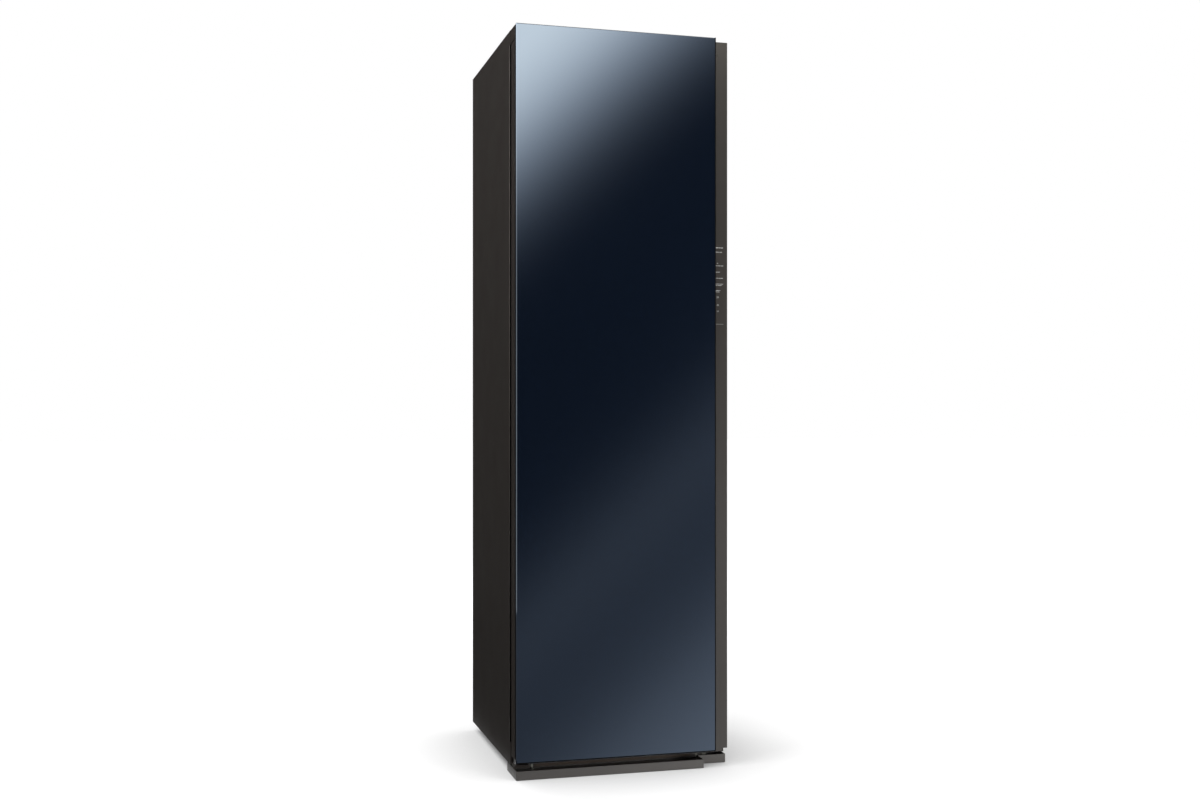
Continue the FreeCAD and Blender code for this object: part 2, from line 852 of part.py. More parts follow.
def front_frame():
    """Moulded ladder frame between the sides: the gasket seats on it all round."""
    blank = box("frame_blank", ("0 - frame_half", "cabinet_front", "frame_low"),
                ("frame_half", "frame_rear", "frame_high"))
    chamber = prism("chamber_window", "y",
                    rectangle(("0 - window_half", "chamber_floor"),
                              ("window_half", "chamber_ceiling")),
                    "cabinet_front - overcut", "frame_rear + overcut")
    round_corners(chamber, "y", "liner_corner")
    tanks = box("tank_window", ("0 - bay_half_width", "cabinet_front - overcut", "bay_floor"),
                ("bay_half_width", "frame_rear + overcut", "bay_ceiling"))
    keep("front_frame", cut("frame", blank, chamber, tanks))


def insulation():
    """Expanded foam pads between the liner and the steel."""
    left_pad = box("pad_left", ("inner_left", "frame_rear", "bay_top + pad_gap"),
                   ("0 - liner_half", "liner_rear", "duct_top"))
    rear_pad = box("pad_rear", ("inner_left", "liner_rear", "chamber_bottom"),
                   ("inner_right", "back_panel_front", "duct_top"))
    keep("insulation_pads",
         group("pads_of_foam", left_pad, mirrored("pad_right", left_pad), rear_pad))


def chamber_liner():
    """Inner tub of the garment chamber, open to the front, with two shelf ledges."""
    blank = box("liner_blank", ("0 - liner_half", "frame_rear", "chamber_bottom"),
                ("liner_half", "liner_rear", "liner_top"))
    hollow = prism("liner_hollow", "y",
                   rectangle(("0 - chamber_half", "chamber_floor"),
                             ("chamber_half", "chamber_ceiling")),
                   "frame_rear - overcut", "chamber_rear")
    round_corners(hollow, "y", "liner_corner")
    under, over = "chamber_bottom - overcut", "chamber_floor + overcut"
    through = "liner_sheet + 2 * overcut"
    cutters = [
        hollow,
        box("filter_opening", ("0 - filter_slot_half_width", "slot_front", under),
            ("filter_slot_half_width", "slot_rear", over)),
        box("warm_air_opening", ("outlet_left", "scroll_front + duct_wall", under),
            ("outlet_right", "vent_rear", over)),
        rod("steam_opening", ("hose_x", "hose_y", under), "hose_radius + slip_gap", through),
        box("scent_opening", ("0 - scent_x - scent_width / 2", "slot_front", under),
            ("0 - scent_x + scent_width / 2", "slot_front + scent_depth", over)),
        rod("ceiling_opening", ("0", "fan_y", "chamber_ceiling - overcut"),
            "fan_inlet_radius", through),
    ]
    for side, spot in HANGER_PLACES.items():
        cutters.append(rod("hanger_air_" + side,
                           (spot, "hanger_y", "chamber_ceiling - overcut"),
                           "neck_radius", through))
    ledge = box("ledge_left",
                ("0 - chamber_half - overcut", "frame_rear + ledge_end_gap",
                 "ledge_top - ledge_thickness"),
                ("0 - chamber_half + ledge_depth", "chamber_rear - ledge_end_gap",
                 "ledge_top"))
    keep("chamber_liner", fuse("liner", cut("liner_cut", blank, *cutters), ledge,
                               mirrored("ledge_right", ledge)))


# ---------------------------------------------------------------- hinges and cover

def hinges():
    """Two brackets on the cabinet; each carries a pin that runs in a bush in the door."""
    near = "left + bracket_inset"
    step = "left + front_return + edge_gap"
    upper = prism("upper_plate", "z", [
        (near, "pivot_y - bracket_nose"), (f"{near} + bracket_width", "pivot_y - bracket_nose"),
        (f"{near} + bracket_width", "frame_rear + bracket_tail"),
        (step, "frame_rear + bracket_tail"), (step, "cabinet_front - seat_gap"),
        (near, "cabinet_front - seat_gap"),
    ], "frame_high", "frame_high + upper_bracket_thickness")
    upper_hole = rod("upper_hole", ("pivot_x", "pivot_y", "frame_high - overcut"),
                     "pin_radius + slip_gap", "upper_bracket_thickness + 2 * overcut")
    keep("upper_hinge_bracket", cut("upper_bracket", upper, upper_hole))

    lower_near = "left + lower_bracket_inset"
    lower = box("lower_plate", (lower_near, "pivot_y - lower_bracket_nose", "pan_floor"),
                (f"{lower_near} + bracket_width", "cabinet_front", "bracket_top"))
    upright = box("lower_upright_plate",
                  (lower_near, "cabinet_front - lower_upright", "pan_floor"),
                  (f"{lower_near} + bracket_width", "cabinet_front",
                   "gasket_low - lower_upright"))
    lower_hole = rod("lower_hole", ("pivot_x", "pivot_y", "pan_floor - overcut"),
                     "pin_radius + slip_gap", "lower_bracket_thickness + 2 * overcut")
    keep("lower_hinge_bracket",
         cut("lower_bracket", fuse("lower_blank", lower, upright), lower_hole))

    reach = "pin_reach - bush_flange"
    upper_pin = rod("upper_pin", ("pivot_x", "pivot_y", f"door_top - ({reach})"), "pin_radius",
                    f"frame_high + upper_bracket_thickness - door_top + {reach}")
    shoulder = "door_bottom - bush_flange - pan_floor"
    lower_pin = turned("lower_pin", [
        ("0", "0"), ("pin_radius", "0"), ("pin_radius", "lower_bracket_thickness"),
        ("pin_shoulder_radius", "lower_bracket_thickness"),
        ("pin_shoulder_radius", f"{shoulder} - seat_gap"),
        ("pin_radius", f"{shoulder} - seat_gap"),
        ("pin_radius", f"{shoulder} + pin_reach"), ("0", f"{shoulder} + pin_reach"),
    ], ("pivot_x", "pivot_y", "pan_floor"))
    keep("hinge_pins", group("pins", upper_pin, lower_pin))


def cap_outline(inset, rear):
    """Plan of the hinge cover, drawn in from its outer faces by inset."""
    front_line = f"cap_clearance + {inset}"
    return [
        (f"left + edge_gap + {inset}", f"panel_back + {front_line}"),
        (f"grip_wall - cap_step_gap - {inset}", f"panel_back + {front_line}"),
        (f"grip_wall - cap_step_gap - {inset}", f"strip_back + {front_line}"),
        (f"right - edge_gap - {inset}", f"strip_back + {front_line}"),
        (f"right - edge_gap - {inset}", rear),
        (f"left + edge_gap + {inset}", rear),
    ]


def top_hinge_cover():
    """Cover over the upper hinge: a thin-walled cap, stepped back behind the grip strip."""
    blank = prism("cap_blank", "z", cap_outline("0", "cabinet_front"), "cap_bottom", "top")
    hollow = prism("cap_hollow", "z", cap_outline("cap_wall", "cabinet_front + overcut"),
                   "cap_bottom - overcut", "top - cap_wall")
    keep("top_hinge_cover", cut("cap", blank, hollow))


# ---------------------------------------------------------------- door

def door_panel():
    """Mirror glass with a bevelled edge, and the moulded frame bonded to its back."""
    glass = prism("glass_blank", "y",
                  rectangle(("left", "glass_bottom"), ("glass_right", "top")),
                  "front", "front + glass_thickness")
    DOCUMENT.recompute()
    plate = glass.Tip
    front_edges = []
    for number, edge in enumerate(plate.Shape.Edges, 1):
        if abs(edge.BoundBox.YMax - plate.Shape.BoundBox.YMin) < CLOSE:
            front_edges.append(f"Edge{number}")
    bevel = glass.newObject("PartDesign::Chamfer", "glass_edge")
    bevel.Base = (plate, front_edges)
    bind(bevel, "Size", "glass_bevel")
    keep("glass_panel", glass)

    near = "left + panel_frame_inset"
    far = "glass_right - panel_frame_inset"
    low = "glass_bottom + panel_frame_inset"
    high = "top - panel_frame_inset"
    blank = box("backing_blank", (near, "front + glass_thickness", low),
                (far, "panel_back", high))
    total = count("panel_pocket_count")
    pitch = f"({high} - panel_rail - ({low})) / {total}"
    pockets = []
    for step in range(total):
        start = f"{low} + panel_rail + {step} * {pitch}"
        pockets.append(box(f"backing_pocket_{step}",
                           (f"{near} + panel_rail", "front + glass_thickness - overcut", start),
                           (f"{far} - panel_rail", "panel_back - panel_frame_sheet",
                            f"{start} + {pitch} - panel_rail")))
    keep("panel_backing_frame", cut("backing", blank, *pockets))


def hinge_spans():
    """Heights between which each hinge block lies inside the door frame."""
    return {
        "upper": ("door_top - door_skin - hinge_block_height", "door_top - door_skin"),
        "lower": ("door_bottom + door_skin", "door_bottom + door_skin + hinge_block_height"),
    }


def door_frame():
    """Tray behind the glass, open at the rear, with holes for the hinge bushes."""
    blank = box("door_blank", ("left", "panel_back", "door_bottom"),
                ("grip_wall", "door_rear", "door_top"))
    hollow = box("door_hollow",
                 ("left + door_skin", "panel_back + door_skin", "door_bottom + door_skin"),
                 ("grip_wall - door_skin", "door_rear + overcut", "door_top - door_skin"))
    seat = box("liner_seat",
               ("grip_wall - door_skin - overcut", "door_rear - door_liner_sheet",
                "door_bottom + door_skin"),
               ("grip_wall + overcut", "door_rear + overcut", "door_top - door_skin"))
    holes = []
    for name, low in (("upper", "door_top - door_skin"), ("lower", "door_bottom")):
        holes.append(rod(name + "_bush_hole", ("pivot_x", "pivot_y", f"{low} - overcut"),
                         "bush_radius + slip_gap", "door_skin + 2 * overcut"))
    keep("door_frame", cut("door_shell", blank, hollow, seat, *holes))


def hinge_seats():
    """Blocks inside the door and the flanged bushes that run on the pins."""
    blocks = []
    for name, (low, high) in hinge_spans().items():
        solid = box("block_" + name, ("block_near", "pivot_y - hinge_block_nose", low),
                    ("block_near + hinge_block_width", "door_rear - door_liner_sheet", high))
        bore = rod("block_bore_" + name, ("pivot_x", "pivot_y", f"{low} - overcut"),
                   "bush_radius + slip_gap", "hinge_block_height + 2 * overcut")
        blocks.append(cut("drilled_block_" + name, solid, bore))
    keep("hinge_blocks", group("blocks", *blocks))

    sleeve = [
        ("pin_radius + running_gap", "0"), ("bush_flange_radius", "0"),
        ("bush_flange_radius", "bush_flange"), ("bush_radius", "bush_flange"),
        ("bush_radius", "bush_flange + bush_length"),
        ("pin_radius + running_gap", "bush_flange + bush_length"),
    ]
    lower_bush = turned("lower_bush", sleeve,
                        ("pivot_x", "pivot_y", "door_bottom - bush_flange"))
    drop = [(radius, f"0 - ({height})") for radius, height in sleeve]
    upper_bush = turned("upper_bush", drop, ("pivot_x", "pivot_y", "door_top + bush_flange"))
    keep("hinge_bushes", group("bushes", upper_bush, lower_bush))


def door_foam():
    """Foam that fills the door and its plug, with pockets for hinge blocks and touch board."""
    low = "door_bottom + door_skin"
    high = "door_top - door_skin"
    rear = "door_rear - door_liner_sheet"
    foam = box("foam_blank", ("left + door_skin", "panel_back + door_skin", low),
               ("grip_wall - door_skin", rear, high))
    edge = box("foam_edge", ("grip_wall", "strip_back", low),
               ("right - door_skin", rear, high))
    plug_foam = box("foam_plug",
                    ("0 - plug_half + door_liner_sheet", rear, "plug_low + door_liner_sheet"),
                    ("plug_half - door_liner_sheet", "plug_rear - door_liner_sheet",
                     "plug_high - door_liner_sheet"))
    pockets = [box("foam_pocket_board",
                   ("board_left", "strip_back - overcut", "board_low"),
                   ("board_left + touch_board_width", "strip_back + touch_board_thickness",
                    "board_low + touch_board_length"))]
    for name, (start, end) in hinge_spans().items():
        pockets.append(box("foam_pocket_" + name,
                           ("left", "pivot_y - hinge_block_nose", start),
                           ("block_near + hinge_block_width", "door_rear + overcut", end)))
    keep("door_foam", cut("foam", fuse("foam_sum", foam, edge, plug_foam), *pockets))


def door_liner():
    """Pressed sheet on the back of the door, with the raised plug that enters the chamber."""
    sheet = box("liner_plate",
                ("left + door_skin", "door_rear - door_liner_sheet",
                 "door_bottom + door_skin"),
                ("right - door_skin", "door_rear", "door_top - door_skin"))
    raised = plug("liner_plug", "0", "door_rear - overcut", "plug_rear")
    sunk = plug("liner_plug_hollow", "door_liner_sheet",
                "door_rear - door_liner_sheet - overcut", "plug_rear - door_liner_sheet")
    keep("door_liner", cut("pressed_liner", fuse("liner_sum", sheet, raised), sunk))


def plug(name, inset, start, end):
    """The part of the door liner that enters the chamber."""
    return box(name, (f"0 - plug_half + {inset}", start, f"plug_low + {inset}"),
               (f"plug_half - {inset}", end, f"plug_high - {inset}"))


def door_gasket():
    """Soft magnetic seal: a ring round both openings with a rail between them."""
    ring = prism("gasket_blank", "y",
                 rectangle(("0 - gasket_half", "gasket_low"), ("gasket_half", "gasket_high")),
                 "door_rear", "gasket_rear")
    round_corners(ring, "y", "gasket_corner")
    middle = "(bay_ceiling + chamber_floor) / 2"
    spans = (("lower", "gasket_low + gasket_width", f"{middle} - gasket_width / 2"),
             ("upper", f"{middle} + gasket_width / 2", "gasket_high - gasket_width"))
    holes = [box(f"gasket_{name}_hole",
                 ("0 - gasket_half + gasket_width", "door_rear - overcut", low),
                 ("gasket_half - gasket_width", "gasket_rear + overcut", high))
             for name, low, high in spans]
    keep("door_gasket", cut("gasket", ring, *holes))


def control_strip():
    """Channel along the free edge: the recessed grip face, its side wall and two ends."""
    face = prism("strip_face", "y", [
        ("grip_wall", "strip_bottom"),
        ("right - strip_notch_width", "strip_bottom"),
        ("right - strip_notch_width", "strip_bottom + strip_notch_rise"),
        ("right", "strip_bottom + strip_notch_rise"),
        ("right", "top"), ("grip_wall", "top"),
    ], "strip_front", "strip_back")
    front = "strip_back - overcut"
    side = box("strip_side", ("right - door_skin", front, "door_bottom"),
               ("right", "door_rear", "door_top"))
    foot = box("strip_foot", ("grip_wall", front, "door_bottom"),
               ("right", "door_rear", "door_bottom + door_skin"))
    head = box("strip_head", ("grip_wall", front, "door_top - door_skin"),
               ("right", "door_rear", "door_top"))
    keep("control_strip", fuse("strip", face, side, foot, head))
    keep("touch_board",
         box("touch_board_plate",
             ("board_left + edge_gap", "strip_back", "board_low + edge_gap"),
             ("board_left + touch_board_width - edge_gap",
              "strip_back + touch_board_thickness",
              "board_low + touch_board_length - edge_gap")))


# ---------------------------------------------------------------- chamber fittings

def shelf():
    """Slotted garment shelf that rests on the two ledges."""
    low = "ledge_top + seat_gap"
    plate = rounded_box("shelf_plate", ("0 - shelf_half", "frame_rear + shelf_end_gap", low),
                        ("shelf_half", "chamber_rear - shelf_end_gap",
                         f"{low} + shelf_thickness"), "shelf_corner")
    slots = []
    total = count("shelf_slot_count")
    for step in range(total):
        middle = f"({step + 0.5} / {total} - 0.5) * (2 * shelf_half - shelf_slot_margin)"
        slots.append(box(f"shelf_slot_{step}",
                         (f"{middle} - shelf_slot_width / 2", "frame_rear + shelf_slot_end",
                          f"{low} - overcut"),
                         (f"{middle} + shelf_slot_width / 2", "chamber_rear - shelf_slot_end",
                          f"{low} + shelf_thickness + overcut")))
    keep("garment_shelf", cut("shelf", plate, *slots))


def ceiling_unit():
    """Air box over the chamber with its fan motor and the lamp in the ceiling."""
    blank = rounded_box("ceiling_blank", ("0 - duct_half_width", "duct_front", "liner_top"),
                        ("duct_half_width", "duct_rear", "duct_top"), "duct_corner")
    hollow = rounded_box("ceiling_hollow",
                         ("0 - duct_half_width + duct_wall", "duct_front + duct_wall",
                          "liner_top - overcut"),
                         ("duct_half_width - duct_wall", "duct_rear - duct_wall",
                          "duct_top - duct_wall"), "duct_corner - duct_wall")
    keep("ceiling_air_duct", cut("ceiling_duct", blank, hollow))

    motor_low = "duct_top - duct_wall - fan_motor_height"
    shaft_low = "fan_low + shaft_end"
    can = turned("ceiling_motor", [
        ("0", "0"), ("fan_motor_radius - fan_motor_slope", "0"),
        ("fan_motor_radius", "fan_motor_slope"), ("fan_motor_radius", "fan_motor_height"),
        ("0", "fan_motor_height"),
    ], ("0", "fan_y", motor_low))
    shaft = rod("ceiling_shaft", ("0", "fan_y", shaft_low), "shaft_radius",
                f"{motor_low} - ({shaft_low}) + overcut")
    keep("ceiling_fan_motor", fuse("ceiling_motor_unit", can, shaft))

    keep("chamber_lamp",
         rounded_box("lamp_lens",
                     ("0 - lamp_half_width", "frame_rear + lamp_setback",
                      "chamber_ceiling - lamp_height"),
                     ("lamp_half_width", "frame_rear + lamp_setback + lamp_depth",
                      "chamber_ceiling"), "lamp_corner"))


def ceiling_fan():
    """Extractor wheel: backward-leaning blades between an eye ring and a plate with a hub."""
    base = ("0", "fan_y", "fan_low")
    plate_low = "fan_height - fan_plate"
    blades = ring_of_blades("fan_blades", base, ("fan_eye_radius", "fan_radius"),
                            ("fan_rim", plate_low), "fan_blade", "z")
    plate = turned("fan_back_plate", [
        ("shaft_radius + running_gap", "fan_height - fan_hub_depth"),
        ("fan_hub_radius", "fan_height - fan_hub_depth"), ("fan_hub_radius", plate_low),
        ("fan_radius", plate_low), ("fan_radius", "fan_height"),
        ("shaft_radius + running_gap", "fan_height"),
    ], base)
    eye = turned("fan_eye_ring", [
        ("fan_eye_radius", "0"), ("fan_radius", "0"), ("fan_radius", "fan_rim"),
        ("fan_eye_radius", "fan_rim"),
    ], base)
    keep("ceiling_fan_wheel", fuse("ceiling_wheel", blades, plate, eye))


def ring_of_blades(name, base, ring, span, shape, axis):
    """Arc-sided blades repeated round an axis.

    ring is the radii between which a blade reaches and span the heights between which it
    stands. shape begins the names of the blade's curve (its arc's radius) and of the arc's
    centre: lean is how far that lies beyond the ring's middle, lift how far to one side.
    """
    inner, outer = ring
    curve = shape + "_curve"
    lean, lift = size(shape + "_lean"), size(shape + "_lift")
    near_ring, far_ring = size(inner), size(outer)
    centre = FreeCAD.Vector((near_ring + far_ring) / 2 + lean, lift, 0)
    body = new_body(name)
    sketch = new_sketch(body, "z", span[0])

    def crossing(radius, reach):
        """Angle on the arc's circle at which it crosses a ring about the axis."""
        away = centre.Length
        cosine = (radius ** 2 + away ** 2 - reach ** 2) / (2 * radius * away)
        return math.atan2(-centre.y, -centre.x) + math.acos(cosine)

    sides = []
    for rule, radius in ((curve, size(curve)),
                         (f"{curve} - blade_thickness", size(curve) - size("blade_thickness"))):
        circle = Part.Circle(centre, FreeCAD.Vector(0, 0, 1), radius)
        arc = Part.ArcOfCircle(circle, crossing(radius, near_ring), crossing(radius, far_ring))
        side = sketch.addGeometry(arc, False)
        hold(sketch, rule, "Radius", side, radius)
        hold(sketch, inner, "Distance", -1, 1, side, 1, near_ring)
        hold(sketch, outer, "Distance", -1, 1, side, 2, far_ring)
        sides.append(side)
    near, far = sides
    hold(sketch, f"({inner} + {outer}) / 2 + {shape}_lean", "DistanceX", -1, 1, near, 3,
         centre.x)
    hold(sketch, f"{shape}_lift", "DistanceY", -1, 1, near, 3, centre.y)
    sketch.addConstraint(Sketcher.Constraint("Coincident", near, 3, far, 3))
    for end in (1, 2):
        line = Part.LineSegment(sketch.getPoint(near, end), sketch.getPoint(far, end))
        number = sketch.addGeometry(line, False)
        sketch.addConstraint(Sketcher.Constraint("Coincident", number, 1, near, end))
        sketch.addConstraint(Sketcher.Constraint("Coincident", number, 2, far, end))
    blade = pad(body, sketch, "z", f"{span[1]} - ({span[0]})")
    DOCUMENT.recompute()
    pattern = body.newObject("PartDesign::PolarPattern", name + "_pattern")
    pattern.Originals = [blade]
    pattern.Axis = (sketch, ["N_Axis"])
    pattern.Angle = 360
    bind(pattern, "Occurrences", shape + "_count")
    body.Tip = pattern
    body.Placement.Rotation = TURNS[axis]
    return place(body, base)


HANGER_PLACES = {"left": "0 - hanger_pitch", "middle": "0", "right": "hanger_pitch"}


def hanger_rails():
    """Three slotted rails under the ceiling, one for each hanger."""
    half = "rail_width / 2"
    lip = "rail_low + rail_sheet"
    rails = []
    for side, x in HANGER_PLACES.items():
        outline = [
            (f"{x} - {half}", "chamber_ceiling"), (f"{x} - {half}", "rail_low"),
            (f"{x} - rail_slot / 2", "rail_low"), (f"{x} - rail_slot / 2", lip),
            (f"{x} - {half} + rail_sheet", lip),
            (f"{x} - {half} + rail_sheet", "chamber_ceiling - rail_sheet"),
            (f"{x} + {half} - rail_sheet", "chamber_ceiling - rail_sheet"),
            (f"{x} + {half} - rail_sheet", lip),
            (f"{x} + rail_slot / 2", lip), (f"{x} + rail_slot / 2", "rail_low"),
            (f"{x} + {half}", "rail_low"), (f"{x} + {half}", "chamber_ceiling"),
        ]
        bar = prism("rail_bar_" + side, "y", outline, "rail_front", "rail_rear")
        hole = rod("rail_hole_" + side,
                   (x, "hanger_y", "chamber_ceiling - rail_sheet - overcut"),
                   "neck_radius", "rail_sheet + 2 * overcut")
        rails.append(cut("rail_" + side, bar, hole))
    keep("hanger_rails", group("rails", *rails))


def air_hanger(side, x):
    """Hollow hanger: sliding head, round neck and broad shoulders with air jets."""
    head_low = "rail_low + rail_sheet + seat_gap"
    inset = "rail_sheet + overcut"
    head = rounded_box("head_" + side,
                       (f"{x} - rail_width / 2 + {inset}",
                        "hanger_y - hanger_head_half_length", head_low),
                       (f"{x} + rail_width / 2 - ({inset})",
                        "hanger_y + hanger_head_half_length",
                        f"chamber_ceiling - ({inset})"), "hanger_head_corner")
    arm = "rail_low - hanger_neck_drop"
    neck = rod("neck_" + side, (x, "hanger_y", f"{arm} - neck_root"), "neck_radius",
               f"{head_low} - ({arm}) + neck_root + overcut")

    body = new_body("arms_" + side)
    sketch = new_sketch(body, "x", f"{x} - hanger_thickness / 2")
    half = [
        ("hanger_collar", arm), ("0.7 * hanger_half_span", f"{arm} - 0.38 * hanger_drop"),
        ("hanger_half_span", f"{arm} - 0.78 * hanger_drop"),
        ("hanger_half_span - hanger_tip", f"{arm} - hanger_drop"),
        ("0.55 * hanger_half_span", f"{arm} - 0.62 * hanger_drop"),
    ]
    front_half = [(f"hanger_y - {reach}", height) for reach, height in half]
    rear_half = [(f"hanger_y + {reach}", height) for reach, height in reversed(half)]
    middle = [("hanger_y", f"{arm} - 0.42 * hanger_drop")]
    draw_polygon(sketch, front_half + middle + rear_half)
    pad(body, sketch, "x", "hanger_thickness")
    round_corners(body, "x", "hanger_round")

    jets = []
    total = count("hanger_jet_count")
    for number in range(total):
        middle_y = f"hanger_y + {number - (total - 1) / 2} * jet_pitch"
        jets.append(box(f"jet_{side}_{number}",
                        (f"{x} - jet_half_width", f"{middle_y} - jet_half_length",
                         f"{arm} - hanger_drop"),
                        (f"{x} + jet_half_width", f"{middle_y} + jet_half_length",
                         f"{arm} - 0.36 * hanger_drop")))
    shoulders = cut("shoulders_" + side, body, *jets)
    bore = rod("bore_" + side, (x, "hanger_y", f"{arm} - 0.4 * hanger_drop"),
               "neck_radius - neck_wall", f"chamber_ceiling - ({arm}) + 0.4 * hanger_drop")
    keep("air_hanger_" + side,
         cut("hanger_" + side, fuse("hanger_sum_" + side, head, neck, shoulders), bore))


def air_grilles():
    """Round grille under the ceiling fan and the slotted vent over the blower's outlet."""
    disc = rod("grille_disc", ("0", "fan_y", "chamber_ceiling - grille_sheet"),
               "grille_radius", "grille_sheet")
    bars = []
    total = count("grille_slot_count")
    for step in range(total):
        middle = f"{step - (total - 1) / 2} * grille_pitch"
        bars.append(box(f"grille_slot_{step}",
                        (f"{middle} - grille_slot / 2", "fan_y - grille_slot_half_length",
                         "chamber_ceiling - grille_sheet - overcut"),
                        (f"{middle} + grille_slot / 2", "fan_y + grille_slot_half_length",
                         "chamber_ceiling + overcut")))
    ceiling_grille = cut("air_grille", disc, *bars)

    vent = box("vent_plate", ("outlet_left - vent_rim", "scroll_front", "chamber_floor"),
               ("outlet_right + vent_rim", "vent_rear + vent_rim",
                "chamber_floor + vent_sheet"))
    slots = []
    total = count("vent_slot_count")
    for step in range(total):
        middle = f"(outlet_left + outlet_right) / 2 + {step - (total - 1) / 2} * vent_pitch"
        slots.append(box(f"vent_slot_{step}",
                         (f"{middle} - vent_slot / 2", "scroll_front + vent_rim",
                          "chamber_floor - overcut"),
                         (f"{middle} + vent_slot / 2", "vent_rear",
                          "chamber_floor + vent_sheet + overcut")))
    keep("air_grilles", group("grilles", ceiling_grille, cut("vent", vent, *slots)))


def fragrance_cartridge():
    """Scent cartridge with a slotted top, standing in a socket of the chamber floor."""
    near, far = "0 - scent_x - scent_width / 2", "0 - scent_x + scent_width / 2"
    rear = "slot_front + scent_depth"
    seat = "chamber_floor + seat_gap"
    body = rounded_box("scent_body",
                       (f"{near} + scent_gap", "slot_front + scent_gap",
                        "chamber_bottom - scent_drop"),
                       (f"{far} - scent_gap", f"{rear} - scent_gap", f"{seat} + overcut"),
                       "scent_corner")
    cap = rounded_box("scent_cap", (f"{near} - scent_rim", "slot_front - scent_rim", seat),
                      (f"{far} + scent_rim", f"{rear} + scent_rim",
                       f"{seat} + scent_cap_height"), "scent_corner")
    slots = []
    total = count("scent_slot_count")
    for step in range(total):
        middle = f"0 - scent_x + {step - (total - 1) / 2} * scent_slot_pitch"
        slots.append(box(f"scent_slot_{step}",
                         (f"{middle} - scent_slot / 2", "slot_front + scent_rim",
                          f"{seat} + scent_rim"),
                         (f"{middle} + scent_slot / 2", f"{rear} - scent_rim",
                          f"{seat} + scent_cap_height + overcut")))
    keep("fragrance_cartridge", cut("scent", fuse("scent_sum", body, cap), *slots))


def lint_filter():
    """Lint filter: a framed screen with a lifting tab, dropped into the floor slot."""
    seat = "chamber_floor + seat_gap"
    rear = "filter_front + filter_depth"
    window_half = "filter_half - filter_frame"
    window_low = "filter_low + filter_frame"
    window_high = "chamber_bottom - filter_window_drop"
    frame = box("filter_blank", ("0 - filter_half", "filter_front", "filter_low"),
                ("filter_half", rear, f"{seat} + overcut"))
    window = box("filter_window",
                 (f"0 - ({window_half})", "filter_front - overcut", window_low),
                 (window_half, f"{rear} + overcut", window_high))
    flange = box("filter_flange",
                 ("0 - filter_slot_half_width - filter_rim", "slot_front - filter_rim", seat),
                 ("filter_slot_half_width + filter_rim", "slot_rear + filter_rim",
                  f"{seat} + filter_rim_height"))
    tab_front = "filter_front + (filter_depth - filter_tab_depth) / 2"
    tab = box("filter_tab", ("0 - filter_tab_half_width", tab_front, seat),
              ("filter_tab_half_width", f"{tab_front} + filter_tab_depth",
               f"{seat} + filter_tab_height"))
    vents = []
    total = count("filter_vent_count")
    for step in range(total):
        middle = f"{step - (total - 1) / 2} * filter_vent_pitch"
        for name, start, end in (("front", "slot_front + filter_gap", "filter_front"),
                                 ("rear", rear, "slot_rear - filter_gap")):
            vents.append(box(f"filter_vent_{name}_{step}",
                             (f"{middle} - filter_vent_half_width", start,
                              f"{seat} - overcut"),
                             (f"{middle} + filter_vent_half_width", end,
                              f"{seat} + filter_rim_height + overcut")))
    solid = fuse("filter_sum", cut("filter_ring", frame, window), flange, tab)
    keep("lint_filter_frame", cut("filter_frame_cut", solid, *vents))
    mesh_front = "filter_front + (filter_depth - filter_mesh) / 2"
    keep("lint_filter_screen",
         box("filter_screen", (f"0 - ({window_half})", mesh_front, window_low),
             (window_half, f"{mesh_front} + filter_mesh", window_high)))


# ---------------------------------------------------------------- tanks

def tank_bay():
    """Moulded bay with a guide rib between the tanks and a valve stub for each."""
    blank = box("bay_blank",
                ("0 - bay_half_width - bay_wall", "frame_rear", "bay_bottom"),
                ("bay_half_width + bay_wall", "bay_rear + bay_wall", "bay_top"))
    hollow = box("bay_hollow", ("0 - bay_half_width", "frame_rear - overcut", "bay_floor"),
                 ("bay_half_width", "bay_rear", "bay_ceiling"))
    additions = [box("bay_rib", ("0 - bay_rib_width / 2", "frame_rear", "bay_bottom"),
                     ("bay_rib_width / 2", "bay_rear + bay_wall",
                      "bay_floor + bay_rib_height"))]
    for side, sign in (("left", "0 - "), ("right", "")):
        additions.append(rod("valve_" + side,
                             (f"{sign}tank_outer / 2", "tank_rear + seat_gap",
                              "tank_low + valve_height"), "valve_radius",
                             "tank_rear_gap - seat_gap + overcut", "y"))
    keep("tank_bay", fuse("bay", cut("bay_shell", blank, hollow), *additions))


